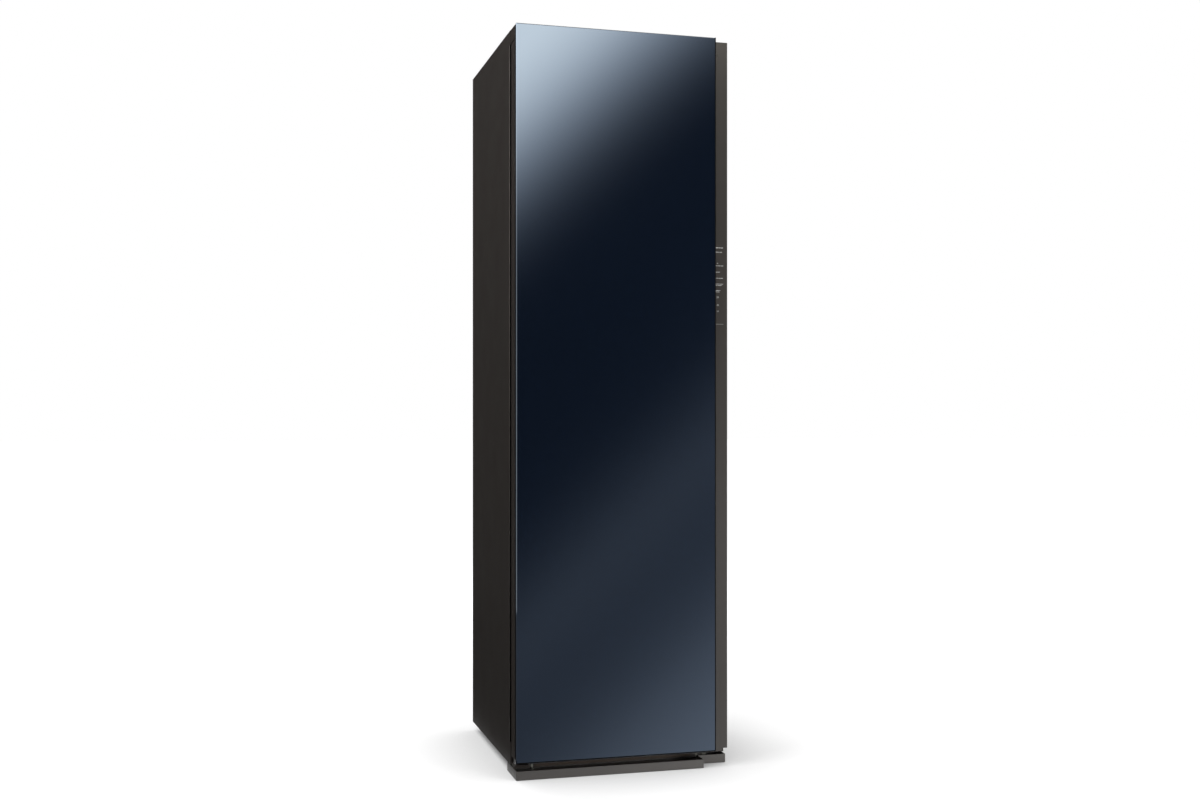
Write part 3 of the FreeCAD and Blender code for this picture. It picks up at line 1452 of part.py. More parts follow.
def tank(node, sign):
    """One slide-out tank: rounded bottle, press-on lid with a cap, and a front with a grip."""
    outer, inner = f"{sign}tank_outer", f"{sign}tank_gap / 2"
    near, far = (outer, inner) if sign else (inner, outer)
    bottle = rounded_box(node + "_blank", (near, "tank_body_front", "tank_low"),
                         (far, "tank_rear", "tank_rim"), "tank_corner")
    hollow = rounded_box(node + "_hollow",
                         (f"{near} + tank_wall", "tank_body_front + tank_wall",
                          "tank_low + tank_wall"),
                         (f"{far} - tank_wall", "tank_rear - tank_wall",
                          "tank_rim + overcut"), "tank_corner - tank_wall")
    keep(node, cut(node + "_shell", bottle, hollow))

    middle = f"({near} + {far}) / 2"
    lid = rounded_box(node + "_lid_plate", (near, "tank_body_front", "tank_rim"),
                      (far, "tank_rear", "tank_rim + lid_thickness"), "tank_corner")
    boss = rod(node + "_cap", (middle, "(tank_body_front + tank_rear) / 2", "tank_rim"),
               "lid_boss_radius", "lid_thickness + lid_boss_height")
    keep(node + "_lid", fuse(node + "_lid_sum", lid, boss))

    plate = prism(node + "_front_blank", "y",
                  rectangle((near, "tank_low"), (far, "tank_rim + lid_thickness")),
                  "tank_front", "tank_body_front")
    round_corners(plate, "y", "tank_front_corner")
    recess = prism(node + "_grip", "y",
                   rectangle((f"{middle} - grip_width / 2",
                              "tank_rim - grip_drop - grip_height"),
                             (f"{middle} + grip_width / 2", "tank_rim - grip_drop")),
                   "tank_front - overcut", "tank_front + grip_depth")
    round_corners(recess, "y", "grip_corner")
    keep(node + "_front", cut(node + "_front_cut", plate, recess))


# ---------------------------------------------------------------- lower air path

def lower_duct():
    """Moulded duct under the chamber floor: lint filter slot, two coils, blower inlet."""
    blank = box("heat_blank", ("0 - heat_duct_half_width", "heat_front", "heat_low"),
                ("heat_duct_half_width", "heat_rear", "chamber_bottom"))
    hollow = box("heat_hollow",
                 ("0 - heat_duct_half_width + heat_duct_wall", "heat_front + heat_duct_wall",
                  "heat_low + heat_duct_wall"),
                 ("heat_duct_half_width - heat_duct_wall", "heat_rear - heat_duct_wall",
                  "chamber_bottom - heat_duct_wall"))
    slot = box("heat_slot",
               ("0 - filter_slot_half_width", "slot_front",
                "chamber_bottom - filter_slot_wall"),
               ("filter_slot_half_width", "slot_rear", "chamber_bottom + overcut"))
    inlet = rod("heat_inlet", ("0", "heat_rear - heat_duct_wall - overcut", "wheel_z"),
                "wheel_inner_radius", "heat_duct_wall + 2 * overcut", "y")
    keep("lower_air_duct", cut("heat_duct", blank, hollow, slot, inlet))


def coil(node, front):
    """Heat exchanger: flat tubes between two upright headers, crossed by thin fins."""
    rear = f"{front} + coil_depth"
    pieces = []
    fins = count("coil_fin_count")
    for step in range(fins):
        middle = f"{(step + 0.5) / fins - 0.5:.4f} * 2 * coil_half"
        pieces.append(box(f"{node}_fin_{step}",
                          (f"{middle} - coil_fin / 2", front, "coil_low"),
                          (f"{middle} + coil_fin / 2", rear, "coil_high")))
    tubes = count("coil_tube_count")
    for step in range(tubes):
        level = f"coil_low + (coil_high - coil_low) * {(step + 0.5) / tubes}"
        pieces.append(box(f"{node}_tube_{step}",
                          ("0 - coil_half", f"{front} + coil_tube_inset",
                           f"{level} - coil_tube / 2"),
                          ("coil_half", f"{rear} - coil_tube_inset",
                           f"{level} + coil_tube / 2")))
    for side, sign in (("left", "0 - "), ("right", "")):
        pieces.append(rod(f"{node}_header_{side}",
                          (f"{sign}coil_half", f"{front} + coil_depth / 2", "coil_low"),
                          "coil_header_radius", "coil_high - coil_low"))
    keep(node, fuse(node + "_sum", *pieces))


def volute(name, start, length, wall, top):
    """Spiral block round the blower wheel with a straight outlet up to a height.

    Four quarter arcs, each a little larger than the one before, follow one another round the
    corners of a small square. wall is 1 for the outer face of the casing and 0 for its space.
    """
    growth = size("scroll_growth")
    first = size("wheel_radius") + size("tongue_gap") + wall * size("duct_wall")
    tongue = 3.5 * growth + size("wheel_radius") + size("tongue_gap")
    tongue -= size("outlet_width") + wall * size("duct_wall")
    high = size("heat_duct_height") / 2
    up = FreeCAD.Vector(0, 0, 1)
    body = new_body(name)
    sketch = new_sketch(body, "y", start)

    corners = [(-growth / 2, growth / 2), (-growth / 2, -growth / 2),
               (growth / 2, -growth / 2), (growth / 2, growth / 2)]
    arcs = []
    for quarter, (across, along) in enumerate(corners):
        radius = first + quarter * growth
        begin = quarter * math.pi / 2
        if quarter == 0:
            begin = math.acos((tongue - across) / radius)
        circle = Part.Circle(FreeCAD.Vector(across, along, 0), up, radius)
        arc = sketch.addGeometry(
            Part.ArcOfCircle(circle, begin, (quarter + 1) * math.pi / 2), False)
        hold(sketch, f"volute_radius + {quarter} * scroll_growth + {wall} * duct_wall",
             "Radius", arc, radius)
        square = "Vertical" if quarter % 2 == 0 else "Horizontal"
        sketch.addConstraint(Sketcher.Constraint(square, arc, 2, arc, 3))
        if arcs:
            across_start = "Horizontal" if quarter % 2 == 0 else "Vertical"
            sketch.addConstraint(Sketcher.Constraint("Coincident", arc, 1, arcs[-1], 2))
            sketch.addConstraint(Sketcher.Constraint(across_start, arc, 1, arc, 3))
        arcs.append(arc)
    hold(sketch, "0 - scroll_growth / 2", "DistanceX", -1, 1, arcs[0], 3, -growth / 2)
    hold(sketch, "scroll_growth / 2", "DistanceY", -1, 1, arcs[0], 3, growth / 2)

    low_right, low_left = sketch.getPoint(arcs[3], 2), sketch.getPoint(arcs[0], 1)
    high_right = FreeCAD.Vector(low_right.x, high, 0)
    high_left = FreeCAD.Vector(low_left.x, high, 0)
    sides = [sketch.addGeometry(Part.LineSegment(*ends), False)
             for ends in ((low_right, high_right), (high_right, high_left),
                          (high_left, low_left))]
    for kind, side in zip(("Vertical", "Horizontal", "Vertical"), sides):
        sketch.addConstraint(Sketcher.Constraint(kind, side))
    joints = ((sides[0], 1, arcs[3], 2), (sides[0], 2, sides[1], 1),
              (sides[1], 2, sides[2], 1), (sides[2], 2, arcs[0], 1))
    for joint in joints:
        sketch.addConstraint(Sketcher.Constraint("Coincident", *joint))
    hold(sketch, f"outlet_left - {wall} * duct_wall", "DistanceX", -1, 1, arcs[0], 1, tongue)
    hold(sketch, f"{top} - wheel_z", "DistanceY", -1, 1, sides[0], 2, high)
    pad(body, sketch, "y", length)
    return place(body, ("0", "0", "wheel_z"))


def blower_casing():
    """Spiral casing of the circulation blower, with a bell mouth round its inlet."""
    solid = volute("scroll_solid", "scroll_front", "scroll_depth", 1, "chamber_bottom")
    space = volute("scroll_space", "scroll_front + duct_wall",
                   "scroll_depth - 2 * duct_wall", 0, "chamber_bottom + overcut")
    mouth = rod("scroll_mouth", ("0", "scroll_front", "wheel_z"),
                "wheel_inner_radius + inlet_lip_wall", "duct_wall + inlet_lip", "y")
    inlet = rod("scroll_inlet", ("0", "scroll_front - overcut", "wheel_z"),
                "wheel_inner_radius", "duct_wall + inlet_lip + 2 * overcut", "y")
    shaft_hole = rod("scroll_shaft_hole",
                     ("0", "scroll_rear - duct_wall - overcut", "wheel_z"),
                     "shaft_radius + shaft_hole_gap", "duct_wall + 2 * overcut", "y")
    shell = fuse("scroll_shell", cut("scroll_hollowed", solid, space), mouth)
    keep("blower_housing", cut("scroll", shell, inlet, shaft_hole))


def blower_wheel():
    """Forward-curved blades between a front rim and a back plate with its hub."""
    base = ("0", "wheel_front", "wheel_z")
    plate_low = "wheel_width - hub_plate"
    blades = ring_of_blades("wheel_blades", base, ("wheel_inner_radius", "wheel_radius"),
                            ("wheel_rim", plate_low), "wheel_blade", "y")
    plate = turned("wheel_plate", [
        ("shaft_radius + running_gap", "wheel_width - hub_depth"),
        ("hub_radius", "wheel_width - hub_depth"), ("hub_radius", plate_low),
        ("wheel_radius", plate_low), ("wheel_radius", "wheel_width"),
        ("shaft_radius + running_gap", "wheel_width"),
    ], base, "y")
    rim = turned("wheel_front_rim", [
        ("wheel_inner_radius", "0"), ("wheel_radius", "0"), ("wheel_radius", "wheel_rim"),
        ("wheel_inner_radius", "wheel_rim"),
    ], base, "y")
    keep("blower_wheel", fuse("wheel", blades, plate, rim))


def blower_motor():
    """Motor on the back of the casing; its shaft carries the wheel."""
    can = turned("blower_can", [
        ("0", "0"), ("rear_motor_radius", "0"),
        ("rear_motor_radius", "rear_motor_length - rear_motor_slope"),
        ("rear_motor_radius - rear_motor_slope", "rear_motor_length"),
        ("0", "rear_motor_length"),
    ], ("0", "scroll_rear", "wheel_z"), "y")
    shaft_front = "wheel_front + wheel_width - hub_depth + shaft_end"
    shaft = rod("blower_shaft", ("0", shaft_front, "wheel_z"), "shaft_radius",
                f"scroll_rear - ({shaft_front}) + overcut", "y")
    keep("blower_motor", fuse("blower_motor_unit", can, shaft))


# ---------------------------------------------------------------- machines

def compressor():
    """Hermetic compressor on a three-armed base plate and three rubber feet."""
    radius, tall = "compressor_radius", "compressor_height"
    can = turned("compressor_can", [
        ("0", "0"), (f"{radius} - compressor_bottom_slope", "0"),
        (radius, "compressor_waist"), (radius, f"{tall} - compressor_waist"),
        (f"{radius} - compressor_top_slope", tall), ("0", tall),
    ], ("compressor_x", "compressor_y", "compressor_low + compressor_sheet"))

    def spot(degrees, reach):
        angle = math.radians(degrees)
        return (f"compressor_x + {math.cos(angle):.4f} * ({reach})",
                f"compressor_y + {math.sin(angle):.4f} * ({reach})")

    arms = (90, 210, 330)
    tips = [spot(arm + side, f"{radius} + compressor_arm")
            for arm in arms for side in (-COMPRESSOR_ARM_ANGLE, COMPRESSOR_ARM_ANGLE)]
    plate = prism("compressor_plate", "z", tips, "compressor_low",
                  "compressor_low + compressor_sheet")
    round_corners(plate, "z", "compressor_arm_round")
    riser_low = f"compressor_low + compressor_sheet + {tall} - pipe_root"
    riser = rod("riser", ("compressor_x", "compressor_y", riser_low), "pipe_radius",
                f"heat_low - ({riser_low})")
    keep("compressor", fuse("compressor_unit", can, plate, riser))

    rubber = [rod(f"rubber_{arm}", (*spot(arm, "compressor_foot_ring"), "pan_floor"),
                  "rubber_foot_radius", "rubber_foot_height") for arm in arms]
    keep("compressor_feet", group("rubber_feet", *rubber))


def steam_maker():
    """Boiler tank, its bent steam hose and the nozzle in the chamber floor."""
    shell = rounded_box("boiler_shell", ("boiler_left", "boiler_front", "pan_floor"),
                        ("boiler_right", "boiler_front + boiler_depth", "boiler_top"),
                        "boiler_corner")
    collar = rod("boiler_collar", ("port_x", "hose_y", "boiler_top - overcut"),
                 "hose_radius + boiler_collar_wall", "boiler_collar_height + overcut")
    keep("steam_generator", fuse("boiler", shell, collar))

    first_bend = quarter_bend("hose_first_bend",
                              ("port_x + hose_bend", "hose_y", "hose_level - hose_bend"), 90)
    second_bend = quarter_bend("hose_second_bend",
                               ("hose_x - hose_bend", "hose_y", "hose_level + hose_bend"), 270)
    keep("steam_hose", fuse(
        "hose", rod("hose_start", ("port_x", "hose_y", "hose_low"), "hose_radius",
                    "hose_level - hose_bend - hose_low"),
        first_bend,
        rod("hose_run", ("port_x + hose_bend", "hose_y", "hose_level"), "hose_radius",
            "hose_x - port_x - 2 * hose_bend", "x"),
        second_bend,
        rod("hose_end", ("hose_x", "hose_y", "hose_level + hose_bend"), "hose_radius",
            "chamber_floor - hose_level - hose_bend")))

    nozzle = turned("nozzle_body", [
        ("0", "0"), ("hose_radius + nozzle_rim", "0"),
        ("hose_radius + nozzle_rim", "nozzle_sheet"),
        ("hose_radius + nozzle_neck", "nozzle_height"), ("0", "nozzle_height"),
    ], ("hose_x", "hose_y", "chamber_floor"))
    jet = rod("nozzle_jet", ("hose_x", "hose_y", "chamber_floor + nozzle_jet_floor"),
              "nozzle_jet_radius", "nozzle_height")
    keep("steam_nozzle", cut("nozzle", nozzle, jet))


def quarter_bend(name, centre, start):
    """A quarter of a round bend in the plane that faces the door, from a start angle."""
    bend = DOCUMENT.addObject("Part::Torus", name)
    bind(bend, "Radius1", "hose_bend")
    bind(bend, "Radius2", "hose_radius")
    bend.Angle3 = 90
    turn = FreeCAD.Rotation(FreeCAD.Vector(0, 0, 1), start)
    bend.Placement.Rotation = FreeCAD.Rotation(FreeCAD.Vector(1, 0, 0), 90).multiply(turn)
    return place(bend, centre)


def pumps():
    """Feed pump beside the boiler and drain pump near the middle of the pan."""
    units = []
    for name, x, y in (("feed_pump", "boiler_right + pump_gap", "feed_pump_front"),
                       ("drain_pump", "boiler_left + drain_pump_inset",
                        "boiler_front + boiler_depth + drain_pump_inset")):
        barrel = rod(name + "_barrel", (x, y, "pump_z"), "pump_radius", "pump_length", "y")
        foot = box(name + "_foot", (f"{x} - pump_radius", f"{y} + pump_foot_inset", "pan_floor"),
                   (f"{x} + pump_radius", f"{y} + pump_length - pump_foot_inset", "pump_z"))
        stub = rod(name + "_stub", (x, f"{y} + pump_length / 2", "pump_z"), "hose_radius",
                   "pump_radius + pump_stub")
        units.append(fuse(name + "_unit", barrel, foot, stub))
    keep("water_pumps", group("pumps", *units))


def electrics():
    """Control box with its lid and board, and the cord gland in the back panel."""
    wall = "control_box_wall"
    shell = box("control_shell", ("control_left", "control_front", "pan_floor"),
                ("control_right", "control_rear", "control_top"))
    space = box("control_space",
                (f"control_left + {wall}", f"control_front + {wall}", f"pan_floor + {wall}"),
                ("control_right + overcut", f"control_rear - {wall}", f"control_top - {wall}"))
    lid = box("control_lid", ("control_right", "control_front", "pan_floor"),
              (f"control_right + {wall}", "control_rear", "control_top"))
    keep("control_box", group("control_case", cut("control_shell_cut", shell, space), lid))
    inset = f"{wall} + control_board_gap"
    keep("control_board",
         box("control_board_plate",
             (f"control_left + {wall}", f"control_front + {inset}", f"pan_floor + {inset}"),
             (f"control_left + {wall} + control_board_thickness",
              f"control_rear - ({inset})", f"control_top - ({inset})")))
    gland = turned("gland_body", [
        ("cord_radius", "0"), ("gland_radius", "0"), ("gland_radius", "gland_depth"),
        ("gland_radius + gland_rim", "gland_depth"),
        ("gland_radius + gland_rim", "gland_depth + sheet_steel"),
        ("cord_radius", "gland_depth + sheet_steel"),
    ], ("gland_x", "back_panel_rear - gland_depth", "gland_z"), "y")
    keep("cord_gland", gland)


# ---------------------------------------------------------------- build and write

def build():
    side_panels()
    top_panel()
    back_panel()
    base_pan()
    feet()
    base_tray()
    front_frame()
    insulation()
    chamber_liner()
    hinges()
    top_hinge_cover()
    door_panel()
    door_frame()
    hinge_seats()
    door_foam()
    door_liner()
    door_gasket()
    control_strip()
    shelf()
    ceiling_unit()
    ceiling_fan()
    hanger_rails()
    for side, place_x in HANGER_PLACES.items():
        air_hanger(side, place_x)
    air_grilles()
    fragrance_cartridge()
    lint_filter()
    tank_bay()
    tank("water_tank", "0 - ")
    tank("drain_tank", "")
    lower_duct()
    coil("evaporator_coil", "evaporator_front")
    coil("condenser_coil", "condenser_front")
    blower_casing()
    blower_wheel()
    blower_motor()
    compressor()
    steam_maker()
    pumps()
    electrics()
    DOCUMENT.recompute()


def check_and_write():
    """Stop on any object that didn't build, then write one file for each node."""
    for item in DOCUMENT.Objects:
        if "Invalid" in item.State or "Error" in item.State:
            raise RuntimeError(f"{item.Name} did not build: {item.State}")
    for node, item in NODES.items():
        if item.Shape.isNull() or not item.Shape.isValid() or not item.Shape.Solids:
            raise RuntimeError(f"{node} is not a valid solid")
    os.makedirs("parts", exist_ok=True)
    for node, item in NODES.items():
        item.Shape.exportStep(f"parts/{node}.step")
        print(node, len(item.Shape.Solids), round(item.Shape.Volume / 1000, 2))


build()
check_and_write()
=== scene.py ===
"""Clothes care steam cabinet: finishes, fittings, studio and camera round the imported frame.

Lengths are metres in the frame of the CAD: X right, Y back, Z up; the door faces -Y.
"""
import math

import bmesh
import bpy
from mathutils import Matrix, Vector


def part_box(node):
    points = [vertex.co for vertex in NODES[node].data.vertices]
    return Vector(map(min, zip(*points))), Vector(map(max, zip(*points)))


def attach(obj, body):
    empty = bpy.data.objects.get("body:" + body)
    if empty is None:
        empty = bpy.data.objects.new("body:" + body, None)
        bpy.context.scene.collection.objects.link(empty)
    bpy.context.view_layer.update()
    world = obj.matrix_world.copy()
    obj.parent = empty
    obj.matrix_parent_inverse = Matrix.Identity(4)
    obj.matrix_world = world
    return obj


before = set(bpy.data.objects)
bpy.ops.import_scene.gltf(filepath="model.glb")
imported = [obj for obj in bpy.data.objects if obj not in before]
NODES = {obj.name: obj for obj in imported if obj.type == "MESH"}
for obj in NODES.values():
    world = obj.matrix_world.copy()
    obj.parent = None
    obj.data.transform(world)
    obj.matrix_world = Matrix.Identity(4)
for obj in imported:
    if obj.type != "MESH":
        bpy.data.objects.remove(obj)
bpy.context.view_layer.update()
RIGHT, BACK, UP = Vector((1, 0, 0)), Vector((0, 1, 0)), Vector((0, 0, 1))


# ---------------------------------------------------------------- camera

def make_camera():
    """Level camera at the left front, with the horizon a little under the middle."""
    data = bpy.data.cameras.new("camera")
    data.lens = 42.25
    data.sensor_width = 36
    data.shift_y = 0.0169
    camera = bpy.data.objects.new("camera", data)
    camera.location = (-1.0517, -3.8812, 0.9324)
    camera.rotation_euler = (math.radians(90), 0, math.radians(-15.35))
    bpy.context.scene.collection.objects.link(camera)
    bpy.context.scene.camera = camera


# ---------------------------------------------------------------- node helpers

def set_inputs(node, values):
    """Sets a node's own sockets by their names."""
    for socket, value in values.items():
        node.inputs[socket].default_value = value


def maths(tree, kind, first, second):
    """Result of a Math node; each side is a number or another node's output."""
    node = tree.nodes.new("ShaderNodeMath")
    node.operation = kind
    for value, socket in zip((first, second), node.inputs):
        if isinstance(value, (int, float)):
            socket.default_value = value
        else:
            tree.links.new(value, socket)
    return node.outputs[0]


def map_range(tree, value, source, target, kind="LINEAR"):
    """A varying value carried over from one range to another."""
    node = tree.nodes.new("ShaderNodeMapRange")
    node.interpolation_type = kind
    set_inputs(node, {"From Min": source[0], "From Max": source[1],
                      "To Min": target[0], "To Max": target[1]})
    tree.links.new(value, node.inputs["Value"])
    return node.outputs["Result"]


def object_place(tree):
    """Place on the piece itself, which moves with it."""
    return tree.nodes.new("ShaderNodeTexCoord").outputs["Object"]


# ---------------------------------------------------------------- finishes

NOISE_SPAN = (0.3, 0.7)  # the part of a noise's values that a finish spreads out


class Finish:
    """One material: a Principled shader and the nodes that vary it over the surface."""

    def __init__(self, name, colour, rough, **fixed):
        self.material = bpy.data.materials.new(name)
        self.material.use_nodes = True
        self.tree = self.material.node_tree
        self.shader = self.tree.nodes["Principled BSDF"]
        set_inputs(self.shader, {"Base Color": (*colour, 1), "Roughness": rough})
        set_inputs(self.shader, {key.replace("_", " "): fixed[key] for key in fixed})
        self.colour = colour
        self.rough = rough
        self.where = object_place(self.tree)

    def node(self, kind, **settings):
        made = self.tree.nodes.new(kind)
        for key, value in settings.items():
            setattr(made, key, value)
        return made

    def link(self, source, target):
        self.tree.links.new(source, target)

    def noise(self, scale, detail, stretch=(1, 1, 1), rough=0.5):
        """Noise over the piece's own place; an axis with a small stretch runs in long streaks."""
        spread = self.node("ShaderNodeMapping")
        spread.inputs["Scale"].default_value = stretch
        self.link(self.where, spread.inputs["Vector"])
        noise = self.node("ShaderNodeTexNoise")
        set_inputs(noise, {"Scale": scale, "Detail": detail, "Roughness": rough})
        self.link(spread.outputs["Vector"], noise.inputs["Vector"])
        return noise.outputs["Fac"]

    def cells(self, scale):
        """Distance from the middles of small irregular cells."""
        cells = self.node("ShaderNodeTexVoronoi")
        cells.inputs["Scale"].default_value = scale
        self.link(self.where, cells.inputs["Vector"])
        return cells.outputs["Distance"]

    def mottle(self, value, amount, tint=(1, 1, 1)):
        """Base colour that wanders by a share of itself, towards a tint."""
        ramp = self.node("ShaderNodeValToRGB")
        ends = ramp.color_ramp.elements
        ends[0].position, ends[1].position = NOISE_SPAN
        ends[0].color = (*[c * (1 - amount) for c in self.colour], 1)
        ends[1].color = (*[c * (1 + amount) * t for c, t in zip(self.colour, tint)], 1)
        self.link(value, ramp.inputs["Fac"])
        self.link(ramp.outputs["Color"], self.shader.inputs["Base Color"])

    def sheen_spots(self, value, amount):
        """Roughness that wanders either side of its mean."""
        span = (self.rough - amount, self.rough + amount)
        self.link(map_range(self.tree, value, NOISE_SPAN, span), self.shader.inputs["Roughness"])

    def bump(self, value, depth):
        """Relief of a depth in metres, the last step of a finish."""
        bump = self.node("ShaderNodeBump")
        set_inputs(bump, {"Strength": 1.0, "Distance": depth})
        self.link(value, bump.inputs["Height"])
        self.link(bump.outputs["Normal"], self.shader.inputs["Normal"])
        return self.material


def powder_coat(name, colour, rough=0.46):
    """Fine powder coat: a tight orange-peel grain under slow changes of tone."""
    paint = Finish(name, colour, rough, Specular_IOR_Level=0.16)
    paint.mottle(paint.noise(2.2, 4), 0.02, (1.0, 0.99, 0.98))
    paint.sheen_spots(paint.noise(9, 3), 0.02)
    return paint.bump(paint.noise(1400, 2), 0.00004)


def satin_metal_paint(name, colour):
    """Satin metallic paint with fine flakes, a little uneven in its sheen."""
    paint = Finish(name, colour, 0.24, Specular_IOR_Level=0.30)
    paint.mottle(paint.noise(1500, 2), 0.05)
    paint.sheen_spots(paint.noise(60, 3), 0.02)
    return paint.bump(paint.noise(1600, 2), 0.00002)


def moulded(name, colour, rough=0.5, grain=0.00005, scale=900, level=0.4):
    """Moulded plastic with a fine spark-eroded grain."""
    plastic = Finish(name, colour, rough, Specular_IOR_Level=level)
    plastic.mottle(plastic.noise(5, 3), 0.04)
    plastic.sheen_spots(plastic.noise(30, 3), 0.05)
    return plastic.bump(plastic.cells(scale), grain)


def galvanised(name):
    """Zinc-coated sheet: broad spangle in tone and sheen."""
    zinc = Finish(name, (0.50, 0.51, 0.52), 0.42, Metallic=0.9)
    zinc.mottle(zinc.noise(160, 6, rough=0.7), 0.035, (0.99, 1.0, 1.01))
    zinc.sheen_spots(zinc.cells(120), 0.05)
    return zinc.bump(zinc.noise(240, 3), 0.00003)


def brushed(name, colour, stretch=(1, 1, 0.02), rough=0.3):
    """Bright metal with a fine directional grain."""
    steel = Finish(name, colour, rough, Metallic=1.0)
    lines = steel.noise(1500, 2, stretch)
    steel.mottle(lines, 0.07)
    steel.sheen_spots(lines, 0.08)
    return steel.bump(lines, 0.00002)


def tinted_mirror(name):
    """Near-black navy glass with a tinted mirror coat and a very slight roller wave."""
    glass = Finish(name, (0.0042, 0.0078, 0.0165), 0.035, IOR=1.52, Specular_IOR_Level=1.0,
                   Specular_Tint=(0.60, 0.76, 1.0, 1), Coat_Weight=0.15, Coat_Roughness=0.02)
    glass.mottle(glass.noise(1.3, 2), 0.06)
    return glass.bump(glass.noise(2.4, 1, (1, 1, 0.4)), 0.00006)


def elastomer(name, colour):
    """Rubber with a dry, faintly dusty skin."""
    skin = Finish(name, colour, 0.62, Specular_IOR_Level=0.35)
    skin.mottle(skin.noise(40, 4), 0.10)
    skin.sheen_spots(skin.noise(120, 3), 0.08)
    return skin.bump(skin.noise(700, 3), 0.00006)


def rigid_foam(name):
    """Poured insulating foam: open cells cut at the skin."""
    foam = Finish(name, (0.78, 0.74, 0.60), 0.9, Specular_IOR_Level=0.2)
    foam.mottle(foam.noise(25, 5), 0.10, (1, 0.98, 0.92))
    return foam.bump(foam.cells(420), 0.0006)


def clear_plastic(name):
    """Smoky see-through tank plastic with soft flow marks."""
    plastic = Finish(name, (0.50, 0.62, 0.70), 0.14, IOR=1.49, Transmission_Weight=0.82)
    plastic.mottle(plastic.noise(14, 2), 0.04)
    plastic.sheen_spots(plastic.noise(20, 2), 0.04)
    return plastic.bump(plastic.noise(10, 2), 0.0003)


def fin_stock(name):
    """Bright pressed fins, with a wash of oxide."""
    fins = Finish(name, (0.66, 0.67, 0.68), 0.34, Metallic=0.95)
    fins.mottle(fins.noise(18, 4), 0.12, (1.0, 0.99, 0.96))
    fins.sheen_spots(fins.noise(60, 3), 0.08)
    return fins.bump(fins.noise(500, 2, (1, 1, 0.05)), 0.00005)


def board_finish(name):
    """Circuit board: green lacquer over copper tracks."""
    board = Finish(name, (0.035, 0.15, 0.075), 0.36)
    tracks = board.node("ShaderNodeTexBrick")
    set_inputs(tracks, {"Scale": 90, "Mortar Size": 0.03,
                        "Color1": (0.03, 0.14, 0.07, 1), "Color2": (0.04, 0.17, 0.085, 1),
                        "Mortar": (0.09, 0.26, 0.13, 1)})
    board.link(board.where, tracks.inputs["Vector"])
    board.link(tracks.outputs["Color"], board.shader.inputs["Base Color"])
    board.sheen_spots(board.noise(80, 2), 0.06)
    return board.bump(tracks.outputs["Fac"], 0.00006)


def frosted_lamp(name):
    """Frosted lens that glows softly."""
    lens = Finish(name, (0.86, 0.86, 0.82), 0.4, Emission_Color=(1.0, 0.96, 0.88, 1),
                  Emission_Strength=0.5)
    lens.mottle(lens.noise(60, 3), 0.03)
    return lens.bump(lens.cells(500), 0.0001)


def woven_screen(name):
    """Fine filter mesh: crossed threads in tone and relief."""
    mesh = Finish(name, (0.17, 0.19, 0.21), 0.7, Specular_IOR_Level=0.3)
    weave = mesh.node("ShaderNodeTexBrick", offset=0.0)
    set_inputs(weave, {"Scale": 450, "Mortar Size": 0.12,
                       "Color1": (0.10, 0.11, 0.13, 1), "Color2": (0.13, 0.14, 0.16, 1),
                       "Mortar": (0.30, 0.32, 0.34, 1)})
    turned = mesh.node("ShaderNodeMapping")
    turned.inputs["Rotation"].default_value = (math.radians(90), 0, 0)
    mesh.link(mesh.where, turned.inputs["Vector"])
    mesh.link(turned.outputs["Vector"], weave.inputs["Vector"])
    mesh.link(weave.outputs["Color"], mesh.shader.inputs["Base Color"])
    return mesh.bump(weave.outputs["Fac"], 0.0002)


def printed(name, colour):
    """Pale print under a satin lacquer."""
    ink = Finish(name, colour, 0.4)
    ink.mottle(ink.noise(300, 2), 0.05)
    return ink.material


# Each finish by its name: how it is made and what that takes.
FINISH_RECIPES = {
    "cabinet_paint": (powder_coat, (0.0265, 0.0232, 0.0212)),
    "door_paint": (powder_coat, (0.028, 0.024, 0.022)),
    "strip_paint": (satin_metal_paint, (0.051, 0.0462, 0.0425)),
    "tray_paint": (moulded, (0.078, 0.0735, 0.070), 0.44, 0.00003, 1200),
    "galvanised": (galvanised,),
    "bright_steel": (brushed, (0.58, 0.58, 0.59)),
    "mirror_glass": (tinted_mirror,),
    "black_plastic": (moulded, (0.012, 0.012, 0.014), 0.5, 0.00004),
    # A pale copy of the cabinet paint: a painted highlight along the hems.
    "hem_paint": (powder_coat, (0.115, 0.104, 0.096), 0.36),
    "rim_trim": (moulded, (0.075, 0.060, 0.050)),
    "tab_grey": (moulded, (0.24, 0.24, 0.21)),
    "backing_black": (moulded, (0.005, 0.005, 0.005), 0.7, 0.00002, 900, 0.0),
    "liner_plastic": (moulded, (0.60, 0.61, 0.61), 0.36, 0.00004, 600),
    "frame_plastic": (moulded, (0.22, 0.22, 0.23), 0.48),
    "foam": (rigid_foam,),
    "gasket_rubber": (elastomer, (0.022, 0.021, 0.021)),
    "rubber": (elastomer, (0.026, 0.026, 0.027)),
    "duct_plastic": (moulded, (0.33, 0.34, 0.35)),
    "hanger_plastic": (moulded, (0.66, 0.67, 0.67), 0.28, 0.00002, 500),
    "tank_clear": (clear_plastic,),
    "tank_front": (moulded, (0.27, 0.28, 0.29), 0.46),
    "fins": (fin_stock,),
    "compressor_black": (powder_coat, (0.022, 0.022, 0.023), 0.34),
    "boiler_steel": (brushed, (0.52, 0.50, 0.48), (0.03, 1, 1), 0.34),
    "board_green": (board_finish,),
    "lamp": (frosted_lamp,),
    "screen_mesh": (woven_screen,),
    "mark_white": (printed, (0.62, 0.62, 0.61)),
    "mark_grey": (printed, (0.30, 0.29, 0.28)),
}
FINISHES = {name: make(name, *takes) for name, (make, *takes) in FINISH_RECIPES.items()}

